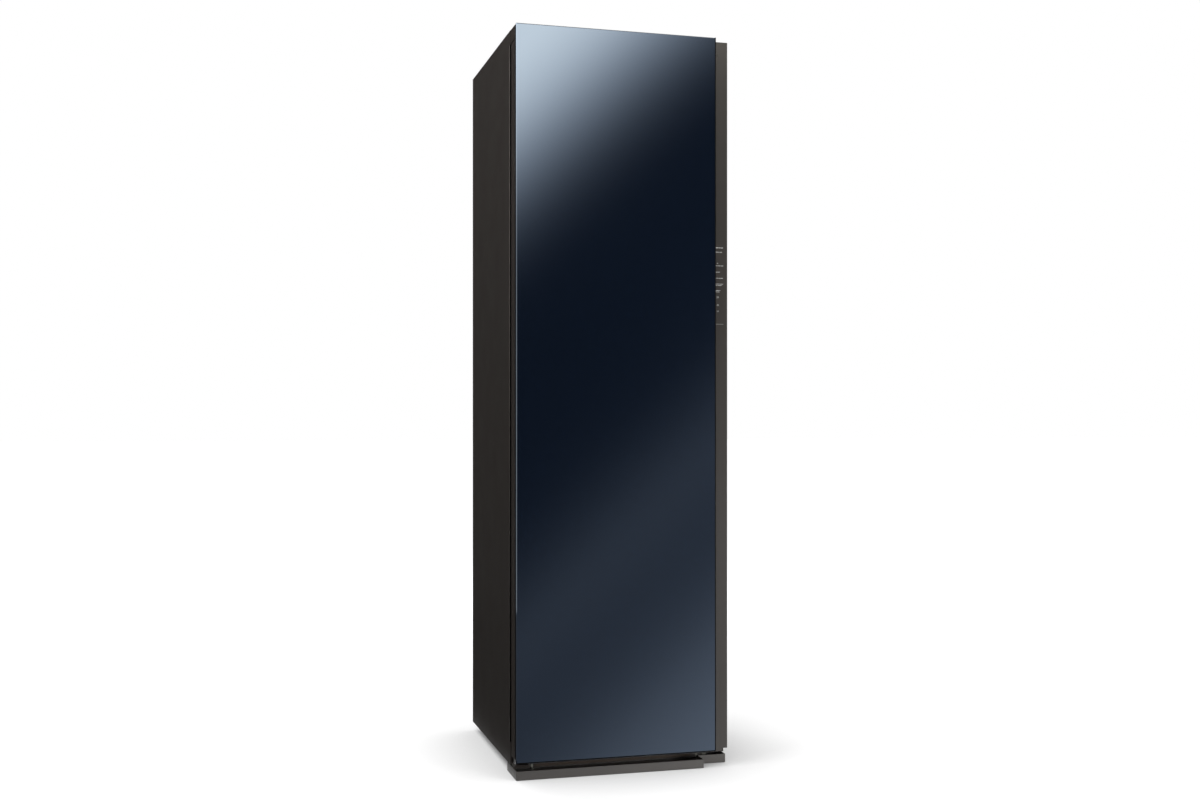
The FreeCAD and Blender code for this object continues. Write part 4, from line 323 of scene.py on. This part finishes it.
SLOT_NODES = {
    "cabinet_paint": ["left_side_panel", "right_side_panel", "top_panel"],
    "door_paint": ["top_hinge_cover", "door_frame", "lower_hinge_bracket"],
    "strip_paint": ["control_strip"],
    "tray_paint": ["base_tray"],
    "galvanised": ["back_panel", "base_pan", "upper_hinge_bracket"],
    "bright_steel": ["foot_studs", "hinge_pins", "ceiling_fan_motor", "blower_motor"],
    "mirror_glass": ["glass_panel"],
    "backing_black": ["panel_backing_frame"],
    "black_plastic": ["levelling_feet", "hinge_blocks", "hinge_bushes", "ceiling_fan_wheel",
                      "blower_wheel", "water_pumps", "control_box"],
    "liner_plastic": ["chamber_liner", "door_liner"],
    "frame_plastic": ["front_frame", "garment_shelf", "air_grilles", "hanger_rails",
                      "lint_filter_frame", "steam_nozzle"],
    "foam": ["insulation_pads", "door_foam"],
    "gasket_rubber": ["door_gasket"],
    "rubber": ["compressor_feet", "steam_hose", "cord_gland"],
    "duct_plastic": ["ceiling_air_duct", "tank_bay", "lower_air_duct", "blower_housing"],
    "hanger_plastic": ["air_hanger_left", "air_hanger_middle", "air_hanger_right",
                       "fragrance_cartridge"],
    "tank_clear": ["water_tank", "drain_tank"],
    "tank_front": ["water_tank_lid", "water_tank_front", "drain_tank_lid", "drain_tank_front"],
    "fins": ["evaporator_coil", "condenser_coil"],
    "compressor_black": ["compressor"],
    "boiler_steel": ["steam_generator"],
    "board_green": ["touch_board", "control_board"],
    "lamp": ["chamber_lamp"],
    "screen_mesh": ["lint_filter_screen"],
}


def dress_nodes():
    """Every CAD node takes its own finish."""
    for slot, names in SLOT_NODES.items():
        for name in names:
            data = NODES[name].data
            data.materials.clear()
            data.materials.append(FINISHES[slot])


# The CAD nodes whose edges are rounded, by the width of the round.
SOFT_EDGES = {
    0.0010: ["left_side_panel", "right_side_panel", "top_panel", "top_hinge_cover", "door_frame"],
    0.0006: ["base_tray", "control_strip", "front_frame", "back_panel", "garment_shelf"],
}
WELD_REACH = 0.00002
FLAT_ANGLE = math.radians(1)
EDGE_ANGLE = math.radians(40)


def soften_edges():
    """Small rounds on the edges of bent sheet and moulded frames, as modifiers."""
    for width, names in SOFT_EDGES.items():
        for name in names:
            stack = NODES[name].modifiers
            stack.new("weld", "WELD").merge_threshold = WELD_REACH
            flat = stack.new("flat", "DECIMATE")
            flat.decimate_type = "DISSOLVE"
            flat.angle_limit = FLAT_ANGLE
            edge = stack.new("edge", "BEVEL")
            edge.width = width
            edge.segments = 2
            edge.limit_method = "ANGLE"
            edge.angle_limit = EDGE_ANGLE
            edge.harden_normals = True


# ---------------------------------------------------------------- mesh helpers

def piece(name, mesh, finish, body, smooth=False):
    """A new piece from a bmesh, in its finish, riding on a body."""
    data = bpy.data.meshes.new(name)
    bmesh.ops.recalc_face_normals(mesh, faces=mesh.faces)
    mesh.to_mesh(data)
    mesh.free()
    made = bpy.data.objects.new(name, data)
    bpy.context.scene.collection.objects.link(made)
    data.materials.append(FINISHES[finish])
    for face in data.polygons:
        face.use_smooth = smooth
    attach(made, body)
    return made


def skin_rings(mesh, rings):
    """Adds a closed solid through rings of points: walls between them and a cap at each end."""
    made = [[mesh.verts.new(point) for point in ring] for ring in rings]
    for below, above in zip(made, made[1:]):
        for i in range(len(below)):
            j = (i + 1) % len(below)
            mesh.faces.new((below[i], below[j], above[j], above[i]))
    mesh.faces.new(made[-1])
    mesh.faces.new(list(reversed(made[0])))


def outline_prism(mesh, outline, base, across, up, out, depth):
    """Adds a prism on a plane: outline points along two directions, raised along a third."""
    lower = [base + across * a + up * b for a, b in outline]
    skin_rings(mesh, [lower, [point + out * depth for point in lower]])


NEARLY = 0.999  # keeps the points of a full half round apart


def rounded_bar(width, height, steps=4, radius=None):
    """Outline of a bar with rounded corners, centred."""
    if radius is None:
        radius = min(width, height) / 2 * NEARLY
    points = []
    for cx, cy, start in ((1, 1, 0), (-1, 1, 90), (-1, -1, 180), (1, -1, 270)):
        for i in range(steps + 1):
            a = math.radians(start + 90 * i / steps)
            points.append((cx * (width / 2 - radius) + radius * math.cos(a),
                           cy * (height / 2 - radius) + radius * math.sin(a)))
    return points


def add_slab(mesh, low, high, soft=0.0004):
    """Adds an upright slab between two corners, its upright edges rounded off."""
    low, high = Vector(low), Vector(high)
    middle = (low + high) / 2
    outline = rounded_bar(high.x - low.x, high.y - low.y, 2, soft)
    outline_prism(mesh, outline, Vector((middle.x, middle.y, low.z)), RIGHT, BACK, UP,
                  high.z - low.z)


# ---------------------------------------------------------------- pressed beads

BEAD_LEVELS = ((1.0, 0.0), (0.8, 0.55), (0.5, 0.9), (0.2, 1.0))  # share of width, share of height
LINER_REAR = 0.2868  # front side of the chamber's rear wall


def add_bead(mesh, centre, out, length, width, height):
    """Adds an upright pressed bead: a long rounded ridge that fades into the sheet."""
    rings = []
    for share, rise in BEAD_LEVELS:
        outline = rounded_bar(length - width * (1 - share), width * share, 5)
        rings.append([centre + UP * a + RIGHT * b + out * (height * rise) for a, b in outline])
    skin_rings(mesh, rings)


def bead_row(name, finish, columns, face, middle, out, size):
    """Beads side by side on a sheet; size is the length, width and height of each."""
    mesh = bmesh.new()
    for x in columns:
        add_bead(mesh, Vector((x, face, middle)), out, *size)
    piece(name, mesh, finish, "cabinet", True)


def sheet_beads():
    """Pressed stiffening beads in the back panel and the liner's rear wall."""
    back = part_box("back_panel")[1].y
    bead_row("back_panel_beads", "galvanised", (-0.19, -0.065, 0.065, 0.19),
             back, 1.14, BACK, (1.44, 0.018, 0.0012))
    bead_row("liner_rear_beads", "liner_plastic", (-0.20, -0.10, 0.0, 0.10, 0.20),
             LINER_REAR, 1.10, -BACK, (0.92, 0.012, 0.0014))


# ---------------------------------------------------------------- seam, glass and tray trim

SEAM_FOOT, SEAM_TOP = 0.086, 1.9215  # the seam beside the door, from foot to hinge cover

# Cross-sections of the seam's strips: two black ones that paint the shade in the seam, and a hem
# painted pale as a highlight; how far inward they run from the cabinet's side, how far back from
# its front, and the radius of their edges.
SHADE_STRIP_FACE = ((-0.0004, 0.0124), (-0.0012, 0.0), 0.0005)
SHADE_STRIP_SIDE = ((-0.0004, 0.0002), (-0.0006, 0.0090), 0.0001)
HEM_HIGHLIGHT = ((-0.0009, 0.0006), (0.0092, 0.0126), 0.0007)


def add_seam_strip(mesh, side, inward, front, section):
    """Adds one strip of the seam at a side of the cabinet."""
    across, depth, soft = section
    near, far = sorted(side + inward * step for step in across)
    add_slab(mesh, (near, front + depth[0], SEAM_FOOT), (far, front + depth[1], SEAM_TOP), soft)


def seam_shade_and_hem_highlights():
    """Black strips over the cabinet's front edges that paint the shade in the seam beside the
    door, and hems behind them in a pale paint that paints a highlight.
    """
    low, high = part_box("left_side_panel")[0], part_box("right_side_panel")[1]
    shade_strips, hem_highlights = bmesh.new(), bmesh.new()
    for side, inward in ((low.x, 1), (high.x, -1)):
        add_seam_strip(shade_strips, side, inward, low.y, SHADE_STRIP_FACE)
        add_seam_strip(shade_strips, side, inward, low.y, SHADE_STRIP_SIDE)
        add_seam_strip(hem_highlights, side, inward, low.y, HEM_HIGHLIGHT)
    # Black strips that paint the shade in the seam beside the door.
    piece("seam_shade_strips", shade_strips, "backing_black", "cabinet")
    # Hems in a pale paint: a painted highlight along the cabinet's front edges.
    piece("side_panel_hem_highlights", hem_highlights, "hem_paint", "cabinet", True)


def painted_edge_reflection():
    """Narrow black band along the free edge and the foot of the glass: a painted dark reflection
    in the glass's edge bevel.
    """
    low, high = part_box("glass_panel")
    wide, proud, deep, soft = 0.0024, 0.0002, 0.0030, 0.0001
    mesh = bmesh.new()
    add_slab(mesh, (high.x - wide, low.y - proud, low.z), (high.x + proud, low.y + deep, high.z),
             soft)
    add_slab(mesh, (low.x + wide, low.y - proud, low.z - proud),
             (high.x - wide, low.y + deep, low.z + wide), soft)
    piece("painted_edge_reflection", mesh, "backing_black", "door")


TRAY_WALL = 0.0025
TRIM_SPAN, TRIM_SHEET, TRIM_LOW, TRIM_HIGH = (-0.2255, 0.2155), 0.0016, 0.0070, 0.0192
TABS = ((-0.2310, 0.0060), (0.2330, 0.0060), (0.2550, 0.0110))  # middle and width of each
TAB_LOW, TAB_HIGH = 0.0030, 0.0225
TAB_SHEET, TAB_REACH = 0.0014, 0.0110  # thickness, and how far the bent foot comes forward


def tray_fittings():
    """Trim on the tray's rear rim and the bent tabs that hold the tray to the cabinet."""
    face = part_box("base_tray")[1].y - TRAY_WALL
    mesh = bmesh.new()
    add_slab(mesh, (TRIM_SPAN[0], face - TRIM_SHEET, TRIM_LOW), (TRIM_SPAN[1], face, TRIM_HIGH))
    piece("tray_rear_trim", mesh, "rim_trim", "cabinet")
    mesh = bmesh.new()
    for x, wide in TABS:
        near, far = x - wide / 2, x + wide / 2
        add_slab(mesh, (near, face - TAB_SHEET, TAB_LOW), (far, face, TAB_HIGH))
        add_slab(mesh, (near, face - TAB_REACH, TAB_LOW),
                 (far, face - TAB_SHEET, TAB_LOW + TAB_SHEET))
    piece("tray_tabs", mesh, "tab_grey", "cabinet")


# ---------------------------------------------------------------- print

PRINT_DEPTH = 0.00015

# Print on the control strip: the height and thickness of each row, and where its bars start and
# end, in millimetres from the cabinet's left side.
TOUCH_ROWS = (
    (1.4010, 0.0021, ((562.0, 569.5), (570.3, 576.0), (576.8, 582.5))),
    (1.3892, 0.0018, ((562.0, 568.0), (568.8, 572.5), (573.3, 579.5))),
    (1.3590, 0.0016, ((565.0, 568.6),)),
    (1.3522, 0.0013, ((562.0, 567.0), (567.7, 575.0), (575.7, 583.5))),
    (1.3350, 0.0013, ((562.0, 566.0), (566.7, 573.5))),
    (1.3184, 0.0013, ((562.0, 568.5), (569.2, 574.5), (575.2, 582.5))),
    (1.3026, 0.0011, ((562.0, 571.0), (571.7, 583.0))),
    (1.2990, 0.0011, ((562.0, 566.5), (567.2, 578.5))),
    (1.2850, 0.0011, ((562.0, 575.5),)),
    (1.2812, 0.0011, ((562.0, 565.5), (566.2, 572.5))),
    (1.2684, 0.0007, ((565.2, 570.2),)),
    (1.2662, 0.0040, ((565.2, 566.0), (569.4, 570.2))),
    (1.2654, 0.0013, ((567.0, 568.4),)),
    (1.2478, 0.0007, ((567.3, 568.1),)),
    (1.2466, 0.0007, ((566.2, 569.2),)),
    (1.2454, 0.0010, ((565.2, 570.2),)),
    (1.2436, 0.0007, ((565.2, 570.2),)),
    (1.2290, 0.0034, ((565.4, 566.2), (569.2, 570.0))),
    (1.2276, 0.0008, ((566.4, 569.0),)),
    (1.2296, 0.0008, ((567.3, 568.1),)),
)
DIVIDER_ROW = (1.1935, 0.0010, ((562.0, 584.0),))


def add_print(mesh, outline, middle):
    """Adds a thin printed shape that faces the front."""
    outline_prism(mesh, outline, middle, RIGHT, UP, -BACK, PRINT_DEPTH)


def add_print_rows(mesh, rows):
    """Adds rows of bars on the control strip."""
    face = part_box("control_strip")[0].y
    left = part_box("left_side_panel")[0].x
    for z, height, bars in rows:
        for start, end in bars:
            x0, x1 = start / 1000, end / 1000
            add_print(mesh, rounded_bar(x1 - x0, height), Vector((left + (x0 + x1) / 2, face, z)))


def touch_marks():
    """Generic bars, dots and simple signs printed on the grip strip, and a line under them."""
    mesh = bmesh.new()
    add_print_rows(mesh, TOUCH_ROWS)
    marks = piece("strip_touch_marks", mesh, "mark_white", "door")

    mesh = bmesh.new()
    add_print_rows(mesh, [DIVIDER_ROW])
    piece("strip_divider_line", mesh, "mark_grey", "door")


TICKS = 5
TICK_SPACING = 0.030
TICK_WIDTHS = (0.016, 0.010)  # of the long and short ticks, in turn
TICK_HEIGHT = 0.0014
TICK_INSET, TICK_FOOT = 0.018, 0.030  # from the front's right edge and from its foot
DROP_RADIUS = 0.0075
DROP_STEPS = 28
DROP_PINCH, DROP_STRETCH = 0.45, 0.75
DROP_INSET, DROP_FOOT = 0.030, 0.034  # from the front's left edge and from its foot
LINE_WIDTH, LINE_HEIGHT, LINE_FALL = 0.020, 0.0016, 0.0125  # the line under the drain's drop


def drop_outline():
    """Outline of a drop: a circle that narrows to a point at its top."""
    points = []
    for i in range(DROP_STEPS):
        a = 2 * math.pi * i / DROP_STEPS
        rise = max(0, math.sin(a))
        points.append((DROP_RADIUS * math.cos(a) * (1 - DROP_PINCH * rise),
                       DROP_RADIUS * math.sin(a) * (1 + DROP_STRETCH * rise ** 3)))
    return points


def tank_marks():
    """Level ticks and a plain drop sign on the fronts of the two tanks."""
    for side, underlined in (("water", False), ("drain", True)):
        low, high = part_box(side + "_tank_front")
        mesh = bmesh.new()
        for i in range(TICKS):
            wide = TICK_WIDTHS[i % 2]
            place = Vector((high.x - TICK_INSET - wide / 2, low.y,
                            low.z + TICK_FOOT + TICK_SPACING * i))
            add_print(mesh, rounded_bar(wide, TICK_HEIGHT), place)
        middle = Vector((low.x + DROP_INSET, low.y, low.z + DROP_FOOT))
        add_print(mesh, drop_outline(), middle)
        if underlined:
            add_print(mesh, rounded_bar(LINE_WIDTH, LINE_HEIGHT), middle - UP * LINE_FALL)
        marks = piece(side + "_tank_marks", mesh, "mark_white", side + "_tank_unit")


# ---------------------------------------------------------------- screws

SCREW_STEPS = 24
SCREW_ANGLES = [2 * math.pi * (i + 0.5) / SCREW_STEPS for i in range(SCREW_STEPS)]
HEAD_HEIGHT = 0.0022

# A pan head and its cross recess, in shares of the head's radius and height.
HEAD_PROFILE = ((1.0, 0.0), (1.0, 0.35), (0.93, 0.70), (0.78, 0.92), (0.62, 1.0))
RECESS_PROFILE = ((0.9, 1.0), (0.6, 0.35))
RECESS_REACH, RECESS_ARM = 0.62, 0.17


def cross_recess():
    """Outline of a cross slot, one point for each step of angle."""
    points = []
    for a in SCREW_ANGLES:
        c, s = abs(math.cos(a)), abs(math.sin(a))
        along, beside = max(c, s), min(c, s)
        length = RECESS_REACH / along
        if beside * length > RECESS_ARM:
            length = RECESS_ARM / beside
        if along * length < RECESS_ARM:
            length = RECESS_ARM / along
        points.append((length * math.cos(a), length * math.sin(a)))
    return points


def screw_head(mesh, centre, out, radius):
    """Adds a pan head with a cross recess, standing on a surface."""
    across = out.orthogonal().normalized()
    up = out.cross(across)
    circle = [(math.cos(a), math.sin(a)) for a in SCREW_ANGLES]
    levels = [(circle, share, rise) for share, rise in HEAD_PROFILE]
    levels += [(cross_recess(), share, rise) for share, rise in RECESS_PROFILE]
    skin_rings(mesh, [[centre + across * (x * share * radius) + up * (y * share * radius)
                       + out * (rise * HEAD_HEIGHT) for x, y in outline]
                      for outline, share, rise in levels])


def screws(name, spots, out, radius=0.0042):
    """Steel screws in the cabinet, their heads all to one side."""
    mesh = bmesh.new()
    for spot in spots:
        screw_head(mesh, Vector(spot), Vector(out), radius)
    piece(name, mesh, "bright_steel", "cabinet")


def back_screws():
    """Screws round the edge of the back panel."""
    low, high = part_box("back_panel")
    side_inset, end_inset, corner_gap, rows = 0.010, 0.008, 0.03, 7
    spots = []
    for i in range(rows):
        z = low.z + corner_gap + (high.z - low.z - 2 * corner_gap) * i / (rows - 1)
        spots += [(low.x + side_inset, high.y, z), (high.x - side_inset, high.y, z)]
    for x in (-0.15, 0.0, 0.15):
        spots += [(x, high.y, high.z - end_inset), (x, high.y, low.z + end_inset)]
    screws("back_panel_screws", spots, (0, 1, 0))


def bracket_screws():
    """Screws through the upright of the lower hinge bracket."""
    low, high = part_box("lower_hinge_bracket")
    upright, inset, height = 0.003, 0.009, 0.0435
    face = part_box("left_side_panel")[0].y - upright
    spots = [(low.x + inset, face, height), (high.x - inset, face, height)]
    screws("lower_bracket_screws", spots, (0, -1, 0), 0.0036)


# ---------------------------------------------------------------- floor, surround and lamps

LIFT = 0.003  # height of most lying cards, and of the foot of the upright ones
FLOOR_REACH = 60
FLOOR_PLACES, FLOOR_GLOWS = (0.9, 3.0), (0.84, 1.0)  # away from the cabinet's middle, glow there
SHADOW_REACH = 0.35
WORLD_LIGHT = 0.22
HIDDEN_FROM = ("camera", "diffuse", "shadow", "transmission", "volume_scatter")


def rectangle(x, y, z):
    """Corners of a flat rectangle: two of x, y and z are ranges, the third is one value."""
    spans = [span if isinstance(span, tuple) else (span, span) for span in (x, y, z)]
    first, second = [i for i in range(3) if spans[i][0] != spans[i][1]]
    corners = []
    for a, b in ((0, 0), (1, 0), (1, 1), (0, 1)):
        corner = [span[0] for span in spans]
        corner[first], corner[second] = spans[first][a], spans[second][b]
        corners.append(corner)
    return corners


def stage_plane(name, corners, material, only_mirrored=True):
    """A flat stage piece; studio cards show only in reflections."""
    mesh = bmesh.new()
    mesh.faces.new([mesh.verts.new(c) for c in corners])
    data = bpy.data.meshes.new(name)
    mesh.to_mesh(data)
    mesh.free()
    made = bpy.data.objects.new(name, data)
    bpy.context.scene.collection.objects.link(made)
    data.materials.append(material)
    if only_mirrored:
        for ray in HIDDEN_FROM:
            setattr(made, "visible_" + ray, False)


def seen_directly(tree):
    """One where the camera, a mirror or clear plastic looks at the surface, else nought."""
    path = tree.nodes.new("ShaderNodeLightPath")
    total = path.outputs["Is Camera Ray"]
    for other in ("Is Glossy Ray", "Is Transmission Ray"):
        total = maths(tree, "MAXIMUM", total, path.outputs[other])
    return total


def make_floor():
    """Plain white floor that keeps the cabinet's real shadow; where seen directly, its glow is
    also dimmed by occlusion near the cabinet as a painted shadow.
    """
    floor = bpy.data.materials.new("floor")
    floor.use_nodes = True
    tree = floor.node_tree
    shader = tree.nodes["Principled BSDF"]
    set_inputs(shader, {"Base Color": (0.42, 0.42, 0.42, 1), "Roughness": 0.9,
                        "Specular IOR Level": 0.0, "Emission Color": (1, 1, 1, 1)})
    from_middle = tree.nodes.new("ShaderNodeVectorMath")
    from_middle.operation = "LENGTH"
    tree.links.new(object_place(tree), from_middle.inputs[0])
    glow = map_range(tree, from_middle.outputs["Value"], FLOOR_PLACES, FLOOR_GLOWS)
    # Painted shadow: the glow fades with ambient occlusion under and beside the cabinet.
    painted_shadow_ao = tree.nodes.new("ShaderNodeAmbientOcclusion")
    painted_shadow_ao.inputs["Distance"].default_value = SHADOW_REACH
    for factor in (painted_shadow_ao.outputs["AO"], seen_directly(tree)):
        glow = maths(tree, "MULTIPLY", glow, factor)
    tree.links.new(glow, shader.inputs["Emission Strength"])
    edge = (-FLOOR_REACH, FLOOR_REACH)
    stage_plane("floor", rectangle(edge, edge, 0), floor, only_mirrored=False)


def make_world():
    """White surround where it is looked at, a softer grey as light."""
    world = bpy.data.worlds.new("studio")
    bpy.context.scene.world = world
    world.use_nodes = True
    tree = world.node_tree
    back = tree.nodes["Background"]
    back.inputs["Color"].default_value = (1, 1, 1, 1)
    tree.links.new(map_range(tree, seen_directly(tree), (0.0, 1.0), (WORLD_LIGHT, 1.0)),
                   back.inputs["Strength"])


# Each lamp by its name: place, target, size and power.
LAMPS = {
    "key": ((2.0, -3.1, 0.5), (0.1, -0.3, 0.4), (1.4, 0.9), 60),
    "low": ((1.2, -1.9, 0.34), (0.26, -0.3, 0.3), (0.6, 0.4), 11),
    "side": ((-1.9, -0.9, 3.6), (-0.3, 0.0, 1.9), (1.4, 1.4), 68),
    "rear": ((-1.5, 4.6, 3.0), (0, 0.2, 1.0), (2.4, 2.4), 110),
}


def soft_lamp(name, place, target, size, power):
    """A rectangular lamp that lights the cabinet and isn't mirrored in it."""
    data = bpy.data.lights.new(name, "AREA")
    data.shape = "RECTANGLE"
    data.size, data.size_y = size
    data.energy = power
    lamp = bpy.data.objects.new(name, data)
    lamp.location = place
    aim = Vector(target) - Vector(place)
    lamp.rotation_euler = aim.to_track_quat("-Z", "Y").to_euler()
    lamp.visible_glossy = False
    bpy.context.scene.collection.objects.link(lamp)


# ---------------------------------------------------------------- cards for the reflections

GLASS_FRONT = -0.316
FAN_POINT = (-1.0517, 3.2492, 0.9324)  # the place of the photo's camera, mirrored in the glass
SLANT = math.radians(43)  # rise of the glow's bands to the right
CARD_STRENGTH = 10.0

# Where the glow fades at its left and right, measured across the glass, and its share there.
CARD_FADES = (((-0.95, -0.32), (0.0, 1.0)), ((0.34, 1.10), (1.0, 0.0)))

# Levels of the glow, by the distance across its bands, measured on the glass.
CARD_STOPS = [(-1.62, 0.125), (-1.47, 0.100), (-1.32, 0.057), (-1.20, 0.030), (-1.07, 0.021),
              (-0.94, 0.033), (-0.82, 0.012), (-0.70, 0.002), (-0.52, 0.001), (-0.32, 0.001),
              (-0.22, 0.007), (-0.12, 0.053), (-0.02, 0.24), (0.08, 0.60), (0.18, 0.84),
              (0.48, 0.88)]
WARM_LEVEL = 0.8
WEAK_TINT = (1.09, 1.11, 1.14)
WARM_SHIFT = (0.0, 0.07, 0.22)  # what the tint loses where the glow is at the warm level

# Black cards that keep the white studio out of the glass, its bevels and the sheen of the
# cabinet's side: x, y and z of each.
FLAGS = {
    "side_flag": ((-8.0, -0.45), 3.2, (LIFT, 5.0)),
    "far_flag": (3.0, (-1.2, 5.0), (LIFT, 4.0)),
    "far_flag_lying": ((0.36, 3.0), (-0.3, 3.2), LIFT),
    "foot_flag": ((-0.40, 0.245), (-0.330, -0.290), 0.034),
    "side_flag_lying": ((-8.0, -0.32), (-0.3, 3.2), LIFT),
}


def glow_material(name):
    """A material that only glows, with its glow node and the x, y and z of its surface."""
    card = bpy.data.materials.new(name)
    card.use_nodes = True
    tree = card.node_tree
    tree.nodes.remove(tree.nodes["Principled BSDF"])
    glow = tree.nodes.new("ShaderNodeEmission")
    tree.links.new(glow.outputs[0], tree.nodes["Material Output"].inputs["Surface"])
    split = tree.nodes.new("ShaderNodeSeparateXYZ")
    tree.links.new(object_place(tree), split.inputs[0])
    return card, glow, split.outputs


def card_colour(level):
    """Nearly neutral where the glow is weak, warmer where it is strong."""
    warm = min(level / WARM_LEVEL, 1.0)
    return (*[level * (tint - shift * warm) for tint, shift in zip(WEAK_TINT, WARM_SHIFT)], 1)


def level_ramp(tree, value, stops):
    """Colour of the glow along a value, through the stops."""
    low, high = stops[0][0], stops[-1][0]
    ramp = tree.nodes.new("ShaderNodeValToRGB")
    ramp.color_ramp.interpolation = "B_SPLINE"
    elements = ramp.color_ramp.elements
    elements.remove(elements[1])
    for place, level in stops:
        spot = (place - low) / (high - low)
        element = elements[0] if spot == 0 else elements.new(spot)
        element.color = card_colour(level)
    tree.links.new(map_range(tree, value, (low, high), (0.0, 1.0)), ramp.inputs["Fac"])
    return ramp.outputs["Color"]


def front_card_material():
    """A glow in slanting bands that fades to both sides, fanned out from behind the glass."""
    card, glow, place = glow_material("front_card")
    tree = card.node_tree
    away = maths(tree, "SUBTRACT", FAN_POINT[1], place["Y"])
    share = maths(tree, "DIVIDE", FAN_POINT[1] - GLASS_FRONT, away)
    sideways = maths(tree, "SUBTRACT", place["X"], FAN_POINT[0])
    upward = maths(tree, "SUBTRACT", place["Z"], FAN_POINT[2])
    slanted = maths(tree, "ADD", maths(tree, "MULTIPLY", sideways, -math.sin(SLANT)),
                    maths(tree, "MULTIPLY", upward, math.cos(SLANT)))
    colour = level_ramp(tree, maths(tree, "MULTIPLY", slanted, share), CARD_STOPS)
    tree.links.new(colour, glow.inputs["Color"])
    reach = maths(tree, "MULTIPLY", sideways, share)
    strength = CARD_STRENGTH
    for places, shares in CARD_FADES:
        measured = [x - FAN_POINT[0] for x in places]
        fade = map_range(tree, reach, measured, shares, "SMOOTHSTEP")
        strength = maths(tree, "MULTIPLY", strength, fade)
    tree.links.new(strength, glow.inputs["Strength"])
    return card


def flag_material():
    """Dull black for the flags."""
    flag = bpy.data.materials.new("side_flag")
    flag.use_nodes = True
    set_inputs(flag.node_tree.nodes["Principled BSDF"],
               {"Base Color": (0.02, 0.02, 0.02, 1), "Roughness": 1.0})
    return flag


def ramped_card(name, corners, axis, span, strengths, colour):
    """A card whose strength changes softly along one axis."""
    card, glow, place = glow_material(name)
    tree = card.node_tree
    tree.links.new(map_range(tree, place[axis], span, strengths, "SMOOTHSTEP"),
                   glow.inputs["Strength"])
    glow.inputs["Color"].default_value = (*colour, 1)
    stage_plane(name, corners, card)


def make_cards():
    """The cards and black flags that shape what the glass and the cabinet's side mirror."""
    front = front_card_material()
    near, far, top = -0.318, -7.0, 7.0
    left, wide = -0.4, 9.0
    stage_plane("front_card_lying", rectangle((left, wide), (near, far), LIFT), front)
    stage_plane("front_card_upright", rectangle((-wide, wide), far, (LIFT, top)), front)
    flag = flag_material()
    for name, spans in FLAGS.items():
        stage_plane(name, rectangle(*spans), flag)
    # A dim card at the left front, a little brighter near the cabinet.
    ramped_card("left_card", rectangle((-wide, left), (far, near), LIFT),
                "Y", (-2.4, -1.0), (0.0, 0.35), (1, 1, 1))
    # A tall card at the left that the glass's left edge picks up, brightest at the top.
    ramped_card("edge_card", rectangle(-3.4, (-1.25, -0.65), (LIFT, 4.0)),
                "Z", (1.7, 2.9), (1.9, 9.5), (1.0, 0.96, 0.88))


def make_studio():
    """Floor, surround, lamps and cards; none of them is part of the cabinet."""
    make_floor()
    make_world()
    for name, settings in LAMPS.items():
        soft_lamp(name, *settings)
    make_cards()


bpy.context.scene.view_settings.view_transform = "Standard"
make_camera()
dress_nodes()
soften_edges()
touch_marks()
seam_shade_and_hem_highlights()
painted_edge_reflection()
tray_fittings()
tank_marks()
sheet_beads()
back_screws()
bracket_screws()
make_studio()
